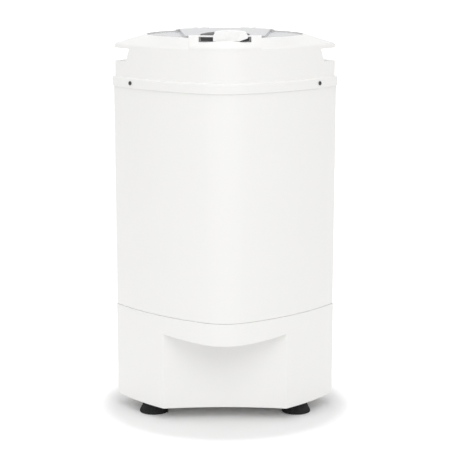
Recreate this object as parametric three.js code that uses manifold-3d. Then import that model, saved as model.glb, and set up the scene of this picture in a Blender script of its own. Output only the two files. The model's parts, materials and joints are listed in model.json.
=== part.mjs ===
// Spin dryer: a six-sided body on a scooped base, with a sprung motor, a spin basket in a tub and a hinged lid.
// Millimetres, +Z up, front towards -Y, origin on the floor under the middle of the body.
import * as THREE from "three";
import { mergeVertices } from "three/addons/utils/BufferGeometryUtils.js";
import Module from "manifold-3d";

const wasm = await Module();
wasm.setup();

// Sizes of the body plan: a nose arc front and back, a long arc on each facet and a tight arc at each side
const bodyHalfWidth = 183;
const bodyHalfDepth = 154;
const noseRadius = 69;
const facetRadius = 418;
const sideRadius = 12;
const draftDegrees = 0.21;

// Heights of the outside, stacked from the floor
const footHeight = 20;
const baseHeight = 156;
const bodyHeight = 366;
const bandHeight = 16;
const collarHeight = 53;
const crownRise = 16;

// Clearances shared by pieces that fit together
const fitGap = 0.3;
const runningGap = 0.4;
const overrun = 6;
const weldDistance = 0.0001;

// Base moulding
const baseWall = 4;
const baseProud = 0.8;
const baseChamfer = 1.2;
const baseFloor = 4;
const spigotHeight = 9;
const spigotWall = 2.5;
const ledgeWidth = 6;
const ledgeHeight = 6;
const supportThickness = 4;
const supportDrop = 8;
const supportBore = 50;
const ventLength = 46;
const ventWidth = 5;
const ventPitch = 13;
const ventCount = 5;

// Scoop in the front of the base, with the lip over it
const scoopHalfWidth = 101;
const scoopSagBottom = 8;
const scoopSagTop = 24;
const lipHeight = 37;
const lipRise = 7;
const roofRise = 10;
const scoopStations = 10;

// Body shell and top cover
const shellWall = 2.5;
const shellTuck = 12;
const coverWall = 3;
const bandProud = 2.3;
const bandChamfer = 2;
const collarInset = 2.5;
const edgeRound = 3;
const edgeRoundIn = 1.6;
const rimSetback = 10.2;
const noseLand = 24;
const rimWidth = 3.6;
const recessDepth = 14;
const mouthDepth = 28;
const mouthLedge = 23.4;

// Side grips: a pocket through each side of the collar, under an ear
const gripTop = 8.4;
const gripHeight = 20.6;
const gripReachTop = 25;
const gripReachBottom = 19;

// Raised plates at the front and back of the crown
const plateRise = 3;
const frontPlateHalfRim = 57;
const frontPlateHalfEdge = 52;
const rearPlateHalfRim = 84;
const rearPlateHalfEdge = 74;
const beadWidth = 2.6;
const beadHeight = 2.6;
const beadDrop = 1.6;

// Lid, its latch and its hinge
const lidGap = 1.9;
const lidThickness = 3;
const lidSink = 2;
const lidSkirt = 2.5;
const panelRise = 5;
const panelHalfFront = 60;
const panelHalfRear = 81;
const latchPocketRadius = 150;
const latchPocketHalf = 41;
const latchPocketDepth = 6;
const latchReach = 13;
const latchBaseSetback = 1;
const latchBaseHalf = 39;
const latchDomeRise = 4;
const latchFlangeHalf = 34;
const latchFlangeWall = 1.3;
const latchFlangeReach = 8;
const latchFlangeDrop = 7.4;
const latchWidth = 54;
const latchOffset = 8.5;
const latchTravel = 16;
const latchTop = 11;
const latchCrown = 2.4;
const latchDepth = 42;
const latchSkirt = 4;
const latchHang = 13.5;
const latchShank = 8;
const latchShankBack = 26;
const latchFoot = 3;
const thumbWidth = 24;
const thumbShift = 3;
const thumbDepth = 1.6;
const hingeSetback = 6;
const hingeDrop = 1;
const hingePinRadius = 2.5;
const hingeKnuckleRadius = 5;
const hingeHalfSpan = 46;
const hingeEarWidth = 9;
const hingeArmWidth = 16;
const hingeArmSpread = 34;

// Tub and its seals
const tubOverhang = 1.2;
const tubWall = 2;
const tubFloor = 3;
const tubBore = 30;
const tubCollar = 9;
const gasketHeight = 8;
const gasketWidth = 7;
const sealLip = 5;
const outletSetback = 24;
const outletRadius = 9;
const outletBore = 7;
const outletDrop = 14;
const hoseWall = 2.5;
const spoutDrop = 7;
const spoutFlange = 4;

// Spin basket
const basketGap = 14;
const basketWall = 1.6;
const basketLift = 15;
const basketTopGap = 10;
const basketCorner = 9;
const basketSeam = 8;
const basketConeFoot = 60;
const basketConeTop = 34;
const basketConeRise = 22;
const rimRingHeight = 16;
const rimRingWidth = 20;
const rimRingOverhang = 1.5;

// Drive: hub, shaft and bearings
const shaftRadius = 9;
const shaftLowerRadius = 7;
const shaftThreadRadius = 6.5;
const hubFlange = 28;
const hubSleeve = 16;
const hubFlangeThickness = 6;
const hubLength = 22;
const nutRadius = 12;
const nutHeight = 8;
const threadPast = 6;
const capRadius = 33;
const capHeight = 26;
const capWall = 2.5;
const upperBearingRadius = 17;
const upperBearingWidth = 11;
const lowerBearingRadius = 14;
const lowerBearingWidth = 9;
const bearingSeat = 3;

// Motor
const motorRadius = 56;
const motorWall = 4.5;
const motorLength = 60;
const motorClearance = 10;
const endCapHeight = 8;
const endCapWall = 3;
const statorBore = 37;
const statorLength = 40;
const rotorGap = 0.8;
const rotorLength = 36;
const finCount = 12;
const finHeight = 3;
const finWidth = 3;
const finSpanShare = 0.7;
const shieldRadius = 34;
const shieldFlange = 4;

// Sprung motor carrier
const springCircle = 88;
const springCount = 3;
const springCoilRadius = 13;
const springWire = 3;
const springTurns = 6;
const springBossRadius = 19;
const springBossHeight = 8;
const springNubRadius = 9;
const springNubHeight = 6;
const springCupWall = 3;
const springCupHeight = 9;
const plateThickness = 3;
const plateFlange = 10;
const armWidth = 34;
const armEndRadius = 20;

// Brake
const drumRadius = 42;
const drumRim = 4;
const drumHeight = 18;
const drumWeb = 4;
const drumHub = 14;
const drumLift = 20;
const shoeGap = 2.4;
const shoeThickness = 6;
const shoeSpanDegrees = 44;
const leverThickness = 4;
const leverWidth = 12;
const leverFront = 30;
const leverBack = 46;
const pivotRadius = 4;
const cableRadius = 2.5;
const cableX = 15;
const cableGap = 1.4;
const cableEndGap = 3;

// Switch worked by the lid
const switchX = 8;
const switchWidth = 28;
const switchDepth = 9;
const switchHeight = 20;
const switchLug = 5;
const plungerRadius = 1.7;
const plungerLength = 20;
const leadRadius = 2;
const leadGap = 2;
const leadSideShare = 0.75;

// Electrical pieces in the base
const capacitorRadius = 18;
const capacitorHeight = 70;
const capacitorX = 104;
const clipWall = 2;
const clipHeight = 14;
const clipFoot = 10;
const terminalWidth = 26;
const terminalDepth = 40;
const terminalHeight = 18;
const terminalX = 108;
const terminalStep = 6;
const glandHeight = 48;
const glandFlangeRadius = 14;
const glandFlange = 2.5;
const glandRadius = 10;
const glandBore = 4;
const glandNut = 13;
const glandNutWidth = 6;

// Feet and screws
const footX = 119;
const footY = 43;
const footRadius = 23.7;
const footNeck = 16.5;
const footLip = 3;
const footShoulder = 10;
const footHollow = 15;
const footHollowDepth = 2.5;
const footStem = 6;
const footHeadRadius = 8.5;
const footHeadHeight = 4;
const screwSetback = 28;
const screwHeadRadius = 3.3;
const screwHead = 1.6;
const screwRadius = 2;
const screwLength = 9;

// Fineness of round shapes
const sideSteps = 2;
const facetSteps = 6;
const noseSteps = 4;
const roundSides = 48;
const drumSides = 32;
const hubSides = 20;
const smallSides = 14;
const wireSides = 5;
const coilSteps = 7;
const cableSides = 6;
const cableSteps = 26;

// Heights that follow from the sizes
const baseBottomZ = footHeight;
const seamZ = baseBottomZ + baseHeight;
const bandBottomZ = seamZ + bodyHeight;
const bandTopZ = bandBottomZ + bandHeight;
const edgeZ = bandTopZ + collarHeight;
const rimZ = edgeZ + crownRise;
const recessZ = rimZ - recessDepth;
const floorZ = baseBottomZ + baseFloor;
const supportZ = seamZ - supportDrop;
const tubZ = supportZ + supportThickness;
const tubTopZ = recessZ - coverWall - gasketHeight;
const basketZ = tubZ + tubFloor + basketLift;
const mouthZ = recessZ - mouthDepth;
const basketTopZ = mouthZ - basketTopGap;
const plateZ = floorZ + motorClearance + endCapHeight + motorLength;
const plateTopZ = plateZ + plateThickness;
const drumZ = plateTopZ + drumLift;
const roofZ = seamZ - lipHeight + roofRise;

// Geometry helpers: every helper hands back a closed solid that can be joined and cut
const radians = THREE.MathUtils.degToRad;
const point = (x, y, z) => new THREE.Vector3(x, y, z);

function solid(geometry) {
  const bare = geometry.clone();
  bare.deleteAttribute("normal");
  bare.deleteAttribute("uv");
  const welded = mergeVertices(bare, weldDistance);
  const vertProperties = new Float32Array(welded.attributes.position.array);
  const triVerts = new Uint32Array(welded.index.array);
  const made = new wasm.Manifold(new wasm.Mesh({ numProp: 3, vertProperties, triVerts }));
  if (made.volume() >= 0) return made;
  triVerts.reverse();
  return new wasm.Manifold(new wasm.Mesh({ numProp: 3, vertProperties, triVerts }));
}

function geometryOf(made) {
  const mesh = made.getMesh();
  const geometry = new THREE.BufferGeometry();
  geometry.setAttribute("position", new THREE.BufferAttribute(mesh.vertProperties, 3));
  geometry.setIndex(new THREE.BufferAttribute(mesh.triVerts, 1));
  const faceted = geometry.toNonIndexed();
  faceted.computeVertexNormals();
  return faceted;
}

const join = (first, ...others) => others.reduce((whole, piece) => whole.add(piece), first);
const cut = (first, ...tools) => tools.reduce((whole, tool) => whole.subtract(tool), first);

// A block that stands on height z, centred on x and y
function block(width, depth, height, x, y, z) {
  return solid(new THREE.BoxGeometry(width, depth, height).translate(x, y, z + height / 2));
}

// An upright round bar that stands on height z
function rod(radius, height, x, y, z, sides = smallSides, topRadius = radius) {
  const bar = new THREE.CylinderGeometry(topRadius, radius, height, sides);
  return solid(bar.rotateX(Math.PI / 2).translate(x, y, z + height / 2));
}

// A turned piece: its profile is a list of [radius, height] that closes on the axis or on itself
function turned(profile, sides = roundSides) {
  const points = profile.map(([radius, height]) => new THREE.Vector2(radius, height));
  return solid(new THREE.LatheGeometry(points, sides).rotateX(Math.PI / 2));
}

// A turned ring with square corners
function ring(outer, inner, bottom, top, sides = roundSides) {
  return turned([[inner, bottom], [outer, bottom], [outer, top], [inner, top], [inner, bottom]], sides);
}

// A solid carried sideways to the place of its axis
const moved = (made, x, y) => solid(geometryOf(made).translate(x, y, 0));

// Skin through rings of equal count, each running anticlockwise seen from the end of the stack
function skin(rings, closed) {
  const count = rings[0].length;
  const positions = rings.flat().flatMap((p) => [p.x, p.y, p.z]);
  const faces = [];
  const layers = closed ? rings.length : rings.length - 1;
  for (let i = 0; i < layers; i++) {
    const low = i * count;
    const high = ((i + 1) % rings.length) * count;
    for (let j = 0; j < count; j++) {
      const next = (j + 1) % count;
      faces.push(low + j, low + next, high + next);
      faces.push(low + j, high + next, high + j);
    }
  }
  if (!closed) {
    const last = (rings.length - 1) * count;
    const flat = (loop) => {
      const [u, v] = capAxes(loop);
      return THREE.ShapeUtils.triangulateShape(loop.map((p) => new THREE.Vector2(p[u], p[v])), []);
    };
    for (const [a, b, c] of flat(rings[0])) faces.push(c, b, a);
    for (const [a, b, c] of flat(rings[rings.length - 1])) faces.push(last + a, last + b, last + c);
  }
  const geometry = new THREE.BufferGeometry();
  geometry.setAttribute("position", new THREE.Float32BufferAttribute(positions, 3));
  geometry.setIndex(faces);
  return solid(geometry);
}

// The two axes that a flat end is seen in: from above for a level ring, from the side for an upright one
function capAxes(loop) {
  const level = loop.every((p) => Math.abs(p.z - loop[0].z) < weldDistance);
  return level ? ["x", "y"] : ["y", "z"];
}

// A bar of straight section, drawn in x and z, that runs from one depth to another
function beam(outlineXZ, fromY, toY) {
  const shape = new THREE.Shape(outlineXZ.map(([x, z]) => new THREE.Vector2(x, z)));
  const bar = new THREE.ExtrudeGeometry(shape, { depth: Math.abs(toY - fromY), bevelEnabled: false });
  return solid(bar.rotateX(Math.PI / 2).translate(0, Math.max(fromY, toY), 0));
}

// An upright prism of a plan outline
function prism(outlineXY, bottom, top) {
  const shape = new THREE.Shape(outlineXY.map(([x, y]) => new THREE.Vector2(x, y)));
  const bar = new THREE.ExtrudeGeometry(shape, { depth: top - bottom, bevelEnabled: false });
  return solid(bar.translate(0, 0, bottom));
}

// A round bar along a curve
function tube(curve, radius, steps, sides) {
  const corners = Array.from({ length: sides }, (_, i) => {
    const angle = (2 * Math.PI * i) / sides;
    return new THREE.Vector2(radius * Math.cos(angle), radius * Math.sin(angle));
  });
  const settings = { steps, extrudePath: curve, bevelEnabled: false };
  return solid(new THREE.ExtrudeGeometry(new THREE.Shape(corners), settings));
}

// Plan outline of the body. The inset moves it inwards at the same distance all round.
function quarterPlan(inset) {
  const nose = new THREE.Vector2(0, bodyHalfDepth - noseRadius);
  const side = new THREE.Vector2(bodyHalfWidth - sideRadius, 0);
  const span = side.distanceTo(nose);
  const toNose = facetRadius - noseRadius;
  const toSide = facetRadius - sideRadius;
  const along = (toNose ** 2 - toSide ** 2 + span ** 2) / (2 * span);
  const away = Math.sqrt(toNose ** 2 - along ** 2);
  const unit = side.clone().sub(nose).divideScalar(span);
  const facet = nose.clone().addScaledVector(unit, along);
  facet.x += unit.y * away;
  facet.y -= unit.x * away;
  const sideEnd = Math.atan2(side.y - facet.y, side.x - facet.x);
  const facetEnd = Math.atan2(nose.y - facet.y, nose.x - facet.x);
  const points = [];
  const arc = (centre, radius, from, to, steps) => {
    for (let i = 0; i < steps; i++) {
      const angle = from + ((to - from) * i) / steps;
      points.push([centre.x + radius * Math.cos(angle), centre.y + radius * Math.sin(angle)]);
    }
  };
  arc(side, sideRadius - inset, 0, sideEnd, sideSteps);
  arc(facet, facetRadius - inset, sideEnd, facetEnd, facetSteps);
  arc(nose, noseRadius - inset, facetEnd, Math.PI / 2, noseSteps);
  points.push([0, bodyHalfDepth - inset]);
  return points;
}

function plan(inset) {
  const quarter = quarterPlan(inset);
  const back = quarter.slice(0, -1).reverse();
  return [
    ...quarter,
    ...back.map(([x, y]) => [-x, y]),
    ...quarter.slice(1).map(([x, y]) => [-x, -y]),
    ...back.slice(0, -1).map(([x, y]) => [x, -y]),
  ];
}

// The draft narrows the body and the base below the band
function draftAt(z) {
  return 1 - (Math.max(bandBottomZ - z, 0) * Math.tan(radians(draftDegrees))) / bodyHalfWidth;
}

const planRing = (inset, z) => plan(inset).map(([x, y]) => point(x * draftAt(z), y * draftAt(z), z));

// A circle whose points lie at the same angles as the plan's
function circleRing(radius, z) {
  return plan(0).map(([x, y]) => {
    const length = Math.hypot(x, y);
    return point((x / length) * radius, (y / length) * radius, z);
  });
}

// Depth of the plan in front of the middle at a sideways distance
function planDepth(x, inset, z) {
  const quarter = quarterPlan(inset).map(([px, py]) => [px * draftAt(z), py * draftAt(z)]);
  const reach = Math.min(Math.abs(x), quarter[0][0]);
  const i = quarter.findIndex(([px]) => px <= reach);
  const [x1, y1] = quarter[Math.max(i, 1)];
  const [x0, y0] = quarter[Math.max(i, 1) - 1];
  return y1 + ((y0 - y1) * (reach - x1)) / (x0 - x1);
}

// Radii that follow from the body plan
const facetReach = Math.min(...plan(collarInset).map(([x, y]) => Math.hypot(x, y)));
const rimRadius = Math.min(facetReach - rimSetback, bodyHalfDepth - collarInset - noseLand);
const mouthRadius = rimRadius - mouthLedge;
const screwReach = bodyHalfWidth - screwSetback;
const tubRadius = rimRadius + tubOverhang;
const basketRadius = tubRadius - tubWall - basketGap;
const lidRadius = rimRadius - lidGap;
const lidZ = rimZ - lidSink - lidThickness;
const panelZ = rimZ - lidSink + panelRise;
const latchBaseY = -(lidRadius - latchBaseSetback - latchBaseHalf);
const latchFrontY = -(rimRadius + rimWidth + fitGap + latchSkirt);
const latchShankY = latchFrontY + latchShankBack;
const hingeY = rimRadius + hingeSetback;
const hingeZ = rimZ - hingeDrop;
const outletY = -(tubRadius - outletSetback);

// The outside of the base, and the space of the scoop, grown by a wall for its inner side
function scoopSpace(grow, lipWall) {
  const half = scoopHalfWidth + grow;
  const edge = planDepth(scoopHalfWidth, -baseProud, roofZ);
  const front = bodyHalfDepth + overrun + grow;
  const loops = [];
  for (let i = 0; i <= scoopStations; i++) {
    const x = half * Math.sin((Math.PI * (i / scoopStations - 1 / 2)));
    const bow = 1 - Math.min(Math.abs(x) / scoopHalfWidth, 1) ** 2;
    const bottomDepth = edge - scoopSagBottom * bow - grow;
    const topDepth = edge - scoopSagTop * bow - grow;
    const lipInside = Math.max(planDepth(x, lipWall - baseProud, roofZ), topDepth + fitGap);
    const lipZ = seamZ - lipHeight + lipRise * (1 - bow) + grow;
    loops.push([
      point(x, -front, baseBottomZ - overrun),
      point(x, -bottomDepth, baseBottomZ - overrun),
      point(x, -topDepth, roofZ + grow),
      point(x, -lipInside, roofZ + grow),
      point(x, -lipInside, lipZ),
      point(x, -front, lipZ),
    ]);
  }
  return skin(loops, false);
}

const springPlaces = Array.from({ length: springCount }, (_, i) => {
  const angle = Math.PI / 2 + (2 * Math.PI * i) / springCount;
  return [springCircle * Math.cos(angle), springCircle * Math.sin(angle)];
});

const footPlaces = {
  front_left: [-footX, -footY],
  front_right: [footX, -footY],
  rear_left: [-footX, footY],
  rear_right: [footX, footY],
};

function baseHousing() {
  const outside = skin(
    [
      planRing(-baseProud, baseBottomZ),
      planRing(-baseProud, seamZ - baseChamfer),
      planRing(baseChamfer - baseProud, seamZ),
    ],
    false,
  );
  const room = skin([planRing(baseWall - baseProud, floorZ), planRing(baseWall - baseProud, seamZ + overrun)], false);
  const hollow = cut(room, scoopSpace(baseWall, 0));
  const spigotOut = shellWall + fitGap;
  const spigot = skin(
    [
      planRing(spigotOut, supportZ - ledgeHeight),
      planRing(spigotOut, seamZ + spigotHeight),
      planRing(spigotOut + spigotWall, seamZ + spigotHeight),
      planRing(spigotOut + spigotWall, supportZ),
      planRing(spigotOut + spigotWall + ledgeWidth, supportZ),
      planRing(spigotOut + spigotWall + ledgeWidth, supportZ - ledgeHeight),
    ],
    true,
  );
  let housing = join(cut(outside, hollow), spigot);
  for (const [x, y] of springPlaces) {
    const boss = rod(springBossRadius, springBossHeight + baseFloor / 2, x, y, floorZ - baseFloor / 2);
    const nubZ = floorZ + springBossHeight - fitGap;
    housing = join(housing, boss, rod(springNubRadius, springNubHeight, x, y, nubZ));
  }
  for (const [x, y] of Object.values(footPlaces))
    housing = cut(housing, rod(footStem + fitGap, baseFloor + 2 * overrun, x, y, baseBottomZ - overrun));
  for (let i = 0; i < ventCount; i++) {
    const x = ventPitch * (i - (ventCount - 1) / 2);
    housing = cut(housing, block(ventWidth, ventLength, baseFloor + 2 * overrun, x, 0, baseBottomZ - overrun));
  }
  const spoutHole = rod(outletRadius + fitGap, roofRise + 2 * baseWall, 0, outletY, roofZ - overrun);
  return cut(housing, scoopSpace(0, baseWall), spoutHole, glandBar(glandRadius + fitGap, 2 * bodyHalfDepth, 0));
}

// A bar along the depth at the height of the gland, from a depth backwards
function glandBar(radius, length, fromY) {
  const bar = new THREE.CylinderGeometry(radius, radius, length, smallSides);
  return solid(bar.translate(0, fromY + length / 2, baseBottomZ + glandHeight));
}

function cordGland() {
  const wallOut = planDepth(0, -baseProud, baseBottomZ + glandHeight);
  const wallIn = planDepth(glandNut, baseWall - baseProud, baseBottomZ + glandHeight);
  const flange = glandBar(glandFlangeRadius, glandFlange, wallOut + fitGap);
  const nut = glandBar(glandNut, glandNutWidth, wallIn - fitGap - glandNutWidth);
  const stem = glandBar(glandRadius, wallOut - wallIn + 2 * fitGap + glandFlange, wallIn - fitGap);
  const bore = glandBar(glandBore, bodyHalfDepth, wallIn - 2 * glandNutWidth);
  return cut(join(stem, flange, nut), bore);
}

function tubSupport() {
  const inset = shellWall + 2 * fitGap + spigotWall;
  const deck = skin([planRing(inset, supportZ), planRing(inset, tubZ)], false);
  const height = supportThickness + 2 * overrun;
  const bore = rod(supportBore, height, 0, 0, supportZ - overrun, hubSides);
  const cableY = tubRadius + cableRadius + cableGap;
  const leadY = -(tubRadius + leadRadius + leadGap);
  const outlet = rod(outletRadius + hoseWall + fitGap, height, 0, outletY, supportZ - overrun);
  const cableHole = rod(cableRadius + leadGap, height, -cableX, cableY, supportZ - overrun);
  const leadHole = rod(leadRadius + leadGap, height, switchX, leadY, supportZ - overrun);
  return cut(deck, bore, outlet, cableHole, leadHole);
}

function cabinetShell() {
  const topZ = bandBottomZ + shellTuck;
  const rings = [
    planRing(0, seamZ),
    planRing(0, topZ),
    planRing(shellWall, topZ),
    planRing(shellWall, seamZ),
  ];
  const holes = screwPlaces.map((place) => screwBar(place, screwRadius + fitGap, screwLength, 0));
  return cut(skin(rings, true), ...holes);
}

// Places of the collar screws: on the facet of the band that lies at the screws' reach
const screwPlaces = [[-1, -1], [1, -1], [-1, 1], [1, 1]].map(([sideways, back]) => {
  const quarter = quarterPlan(-bandProud);
  const i = quarter.findIndex(([x]) => x < screwReach);
  const [x0, y0] = quarter[i - 1];
  const [x1, y1] = quarter[i];
  const length = Math.hypot(x1 - x0, y1 - y0);
  const normal = point((sideways * (y1 - y0)) / length, (back * (x0 - x1)) / length, 0);
  const middle = point((sideways * (x0 + x1)) / 2, (back * (y0 + y1)) / 2, bandBottomZ + bandHeight / 2);
  return { middle, normal };
});

// A bar along a screw's axis: it ends at a height over the band's face and runs inwards
function screwBar({ middle, normal }, radius, length, over) {
  const bar = new THREE.CylinderGeometry(radius, radius, length, smallSides / 2);
  bar.applyQuaternion(new THREE.Quaternion().setFromUnitVectors(point(0, 1, 0), normal));
  const centre = middle.clone().addScaledVector(normal, over - length / 2);
  return solid(bar.translate(centre.x, centre.y, centre.z));
}

function collarScrew(place) {
  const seat = fitGap / 2;
  return join(
    screwBar(place, screwHeadRadius, screwHead, screwHead + seat),
    screwBar(place, screwRadius, screwLength, screwHead + seat),
  );
}

// Outer skin of the collar and crown as a filled body, lifted by a height
function crownBody(lift) {
  return skin(
    [
      planRing(collarInset, bandTopZ + lift),
      planRing(collarInset, edgeZ - edgeRound + lift),
      planRing(collarInset + edgeRoundIn, edgeZ + lift),
      circleRing(rimRadius + rimWidth, rimZ + lift),
    ],
    false,
  );
}

// Space of one side grip, grown by a wall for the inner side
function gripSpace(sideways, grow, topZ) {
  const reach = bodyHalfWidth - collarInset;
  const bottomZ = edgeZ - gripTop - gripHeight - grow;
  const outer = sideways * (bodyHalfWidth + overrun);
  const section = [
    [sideways * (reach - gripReachBottom - grow), bottomZ],
    [outer, bottomZ],
    [outer, topZ],
    [sideways * (reach - gripReachTop - grow), topZ],
  ];
  return beam(sideways > 0 ? section : section.reverse(), -bodyHalfDepth, bodyHalfDepth);
}

// Pocket in the crown's rim that leaves room for the latch, with a bowed front
function latchPocket(grow, bottomZ) {
  const centreY = latchPocketRadius - rimRadius - latchReach;
  const height = rimZ + crownRise - bottomZ;
  const bow = rod(latchPocketRadius + grow, height, 0, centreY, bottomZ, 2 * roundSides);
  const reach = 2 * (latchReach + overrun);
  return bow.intersect(block(2 * (latchPocketHalf + grow), reach, height, 0, -rimRadius, bottomZ));
}

// Height of the crown's underside at a place seen from above
function crownUnderZ(x, y) {
  const highZ = rimZ - crownRise / 2;
  const lowZ = edgeZ - edgeRound - coverWall;
  const inner = rimRadius + coverWall;
  const outer = Math.hypot(x, planDepth(x, collarInset + coverWall, edgeZ));
  return highZ + ((lowZ - highZ) * (Math.hypot(x, y) - inner)) / (outer - inner);
}

function topCover() {
  const wallIn = collarInset + coverWall;
  const recessOut = rimRadius + coverWall;
  const mouthOut = mouthRadius + coverWall;
  const shoulderZ = bandBottomZ + shellTuck + fitGap;
  const cover = skin(
    [
      planRing(-bandProud, bandBottomZ),
      planRing(-bandProud, bandTopZ - bandChamfer),
      planRing(bandChamfer - bandProud, bandTopZ),
      planRing(collarInset, bandTopZ),
      planRing(collarInset, edgeZ - edgeRound),
      planRing(collarInset + edgeRoundIn, edgeZ),
      circleRing(rimRadius + rimWidth, rimZ),
      circleRing(rimRadius, rimZ),
      circleRing(rimRadius, recessZ),
      circleRing(mouthRadius, recessZ),
      circleRing(mouthRadius, mouthZ),
      circleRing(mouthOut, mouthZ),
      circleRing(mouthOut, recessZ - coverWall),
      circleRing(recessOut, recessZ - coverWall),
      circleRing(recessOut, rimZ - crownRise / 2),
      planRing(wallIn, edgeZ - edgeRound - coverWall),
      planRing(wallIn, shoulderZ),
      planRing(-fitGap, shoulderZ),
      planRing(-fitGap, bandBottomZ),
    ],
    true,
  );
  const body = crownBody(0);
  const grips = [-1, 1].map((sideways) => gripSpace(sideways, coverWall, edgeZ + crownRise).intersect(body));
  const spaces = [-1, 1].map((sideways) => gripSpace(sideways, 0, edgeZ - gripTop));
  const pocketZ = rimZ - latchPocketDepth;
  const pocketWall = latchPocket(coverWall, pocketZ - coverWall).intersect(body);
  const hub = rod(rimRadius, crownRise + overrun, 0, 0, rimZ - crownRise, roundSides);
  const holes = screwPlaces.map((place) => screwBar(place, screwRadius + fitGap, screwLength, screwHead));
  const plungerHole = rod(plungerRadius + runningGap, crownRise, switchX, plungerY, pocketZ - crownRise + overrun);
  const filled = join(cover, ...grips, cut(pocketWall, hub));
  return cut(filled, ...spaces, latchPocket(0, pocketZ), hingeRoom(), plungerHole, ...holes);
}

// Plate laid on the crown, between two edges that run from the rim outwards
function crownPlate(back, halfRim, halfEdge) {
  const far = bodyHalfDepth + overrun;
  const wedge = [
    [-halfRim, back * (rimRadius - overrun)],
    [-halfRim, 0],
    [halfRim, 0],
    [halfRim, back * (rimRadius - overrun)],
    [halfEdge, back * far],
    [-halfEdge, back * far],
  ];
  const strip = prism(back < 0 ? wedge.reverse() : wedge, bandTopZ, rimZ + crownRise);
  const layer = cut(crownBody(fitGap + plateRise), crownBody(fitGap));
  const hub = rod(rimRadius, crownRise + overrun, 0, 0, rimZ - crownRise / 2, roundSides);
  return cut(layer.intersect(strip), hub);
}

function frontPlate() {
  const plate = cut(crownPlate(-1, frontPlateHalfRim, frontPlateHalfEdge), latchPocket(0, rimZ - latchPocketDepth));
  const topZ = rimZ + fitGap + plateRise;
  const inner = rimRadius + (rimWidth - beadWidth) / 2;
  const bead = ring(inner + beadWidth, inner, topZ - beadDrop, topZ - beadDrop + beadHeight);
  const window = block(2 * frontPlateHalfRim, rimRadius, crownRise, 0, -rimRadius, rimZ - crownRise / 2);
  return join(plate, bead.intersect(window));
}

// Places of the hinge's ears and arms along its axis
const hingeEarPlaces = [-1, 1].map((sideways) => sideways * (hingeHalfSpan + hingeEarWidth / 2));
const hingeArmPlaces = [-1, 1].map((sideways) => sideways * hingeArmSpread);

// A bar along the hinge's axis, centred on a sideways place
function hingeBar(radius, length, x) {
  const bar = new THREE.CylinderGeometry(radius, radius, length, smallSides);
  return solid(bar.rotateZ(Math.PI / 2).translate(x, hingeY, hingeZ));
}

// Room that the turning knuckles and the pin need in the crown and its plate
function hingeRoom() {
  const reach = hingeKnuckleRadius + runningGap;
  const half = hingeHalfSpan + fitGap;
  const bottomZ = hingeZ - reach;
  const front = rimRadius - 2 * overrun;
  const depth = hingeY + reach - front;
  const slot = block(2 * half, depth, crownRise + overrun, 0, front + depth / 2, bottomZ);
  return join(slot, hingeBar(hingePinRadius + fitGap, 2 * (hingeHalfSpan + hingeEarWidth), 0));
}

function hingeCover() {
  const plate = crownPlate(1, rearPlateHalfRim, rearPlateHalfEdge);
  const ears = hingeEarPlaces.map((x) => {
    const stand = block(hingeEarWidth, 2 * hingeKnuckleRadius, hingeZ - edgeZ, x, hingeY, edgeZ);
    return cut(join(hingeBar(hingeKnuckleRadius, hingeEarWidth, x), stand), crownBody(fitGap));
  });
  return cut(join(plate, ...ears), hingeRoom());
}

function lidHingePin() {
  return hingeBar(hingePinRadius, 2 * (hingeHalfSpan + hingeEarWidth) - 2 * fitGap, 0);
}

// Depth at which the hinge arms start, inside the back edge of the lid
const hingeArmStart = Math.sqrt(lidRadius ** 2 - (hingeArmSpread + hingeArmWidth) ** 2) - overrun;

function lidPanel() {
  const disc = rod(lidRadius, lidThickness, 0, 0, lidZ, roundSides);
  const rise = panelZ - lidZ;
  const trapezoid = (inset) => [
    [-panelHalfFront + inset, -lidRadius + inset],
    [panelHalfFront - inset, -lidRadius + inset],
    [panelHalfRear - inset, lidRadius - inset],
    [-panelHalfRear + inset, lidRadius - inset],
  ];
  const round = rod(lidRadius, rise, 0, 0, lidZ, roundSides);
  const inner = rod(lidRadius - lidThickness, rise + overrun, 0, 0, lidZ - overrun, roundSides);
  const raised = prism(trapezoid(0), lidZ, panelZ).intersect(round);
  const hollow = prism(trapezoid(lidThickness), lidZ - overrun, panelZ - lidThickness).intersect(inner);
  const armRoom = hingeArmPlaces.map((x) => {
    const depth = 2 * (lidRadius - hingeArmStart);
    const width = hingeArmWidth + 2 * fitGap;
    return block(width, depth, rise + overrun - lidThickness, x, lidRadius, lidZ - overrun);
  });
  const skirt = ring(lidRadius, lidRadius - lidSkirt, recessZ + runningGap, lidZ + fitGap);
  return cut(join(disc, raised, skirt), hollow, latchSlot(), ...armRoom);
}

// The carrier under the back of the lid: a cross bar with two arms to the knuckles
function lidHingeArm() {
  const barDepth = hingeArmWidth / 2;
  const barZ = panelZ - 2 * lidThickness;
  const barY = hingeArmStart - barDepth / 2;
  const bar = block(2 * hingeArmSpread + hingeArmWidth, barDepth, lidThickness, 0, barY, barZ);
  const armLength = hingeY - hingeArmStart + barDepth;
  const arms = hingeArmPlaces.map((x) =>
    join(
      block(hingeArmWidth, armLength, lidThickness, x, hingeY - armLength / 2, barZ),
      hingeBar(hingeKnuckleRadius, hingeArmWidth, x),
    ),
  );
  return cut(join(bar, ...arms), hingeBar(hingePinRadius + fitGap, 2 * hingeHalfSpan, 0));
}

// The slot that the latch's shank slides in
function latchSlot() {
  const length = latchShank + latchTravel + 2 * runningGap;
  const x = latchOffset - latchTravel / 2;
  return block(length, latchShank + 2 * runningGap, 2 * crownRise, x, latchShankY, lidZ - overrun);
}

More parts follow.
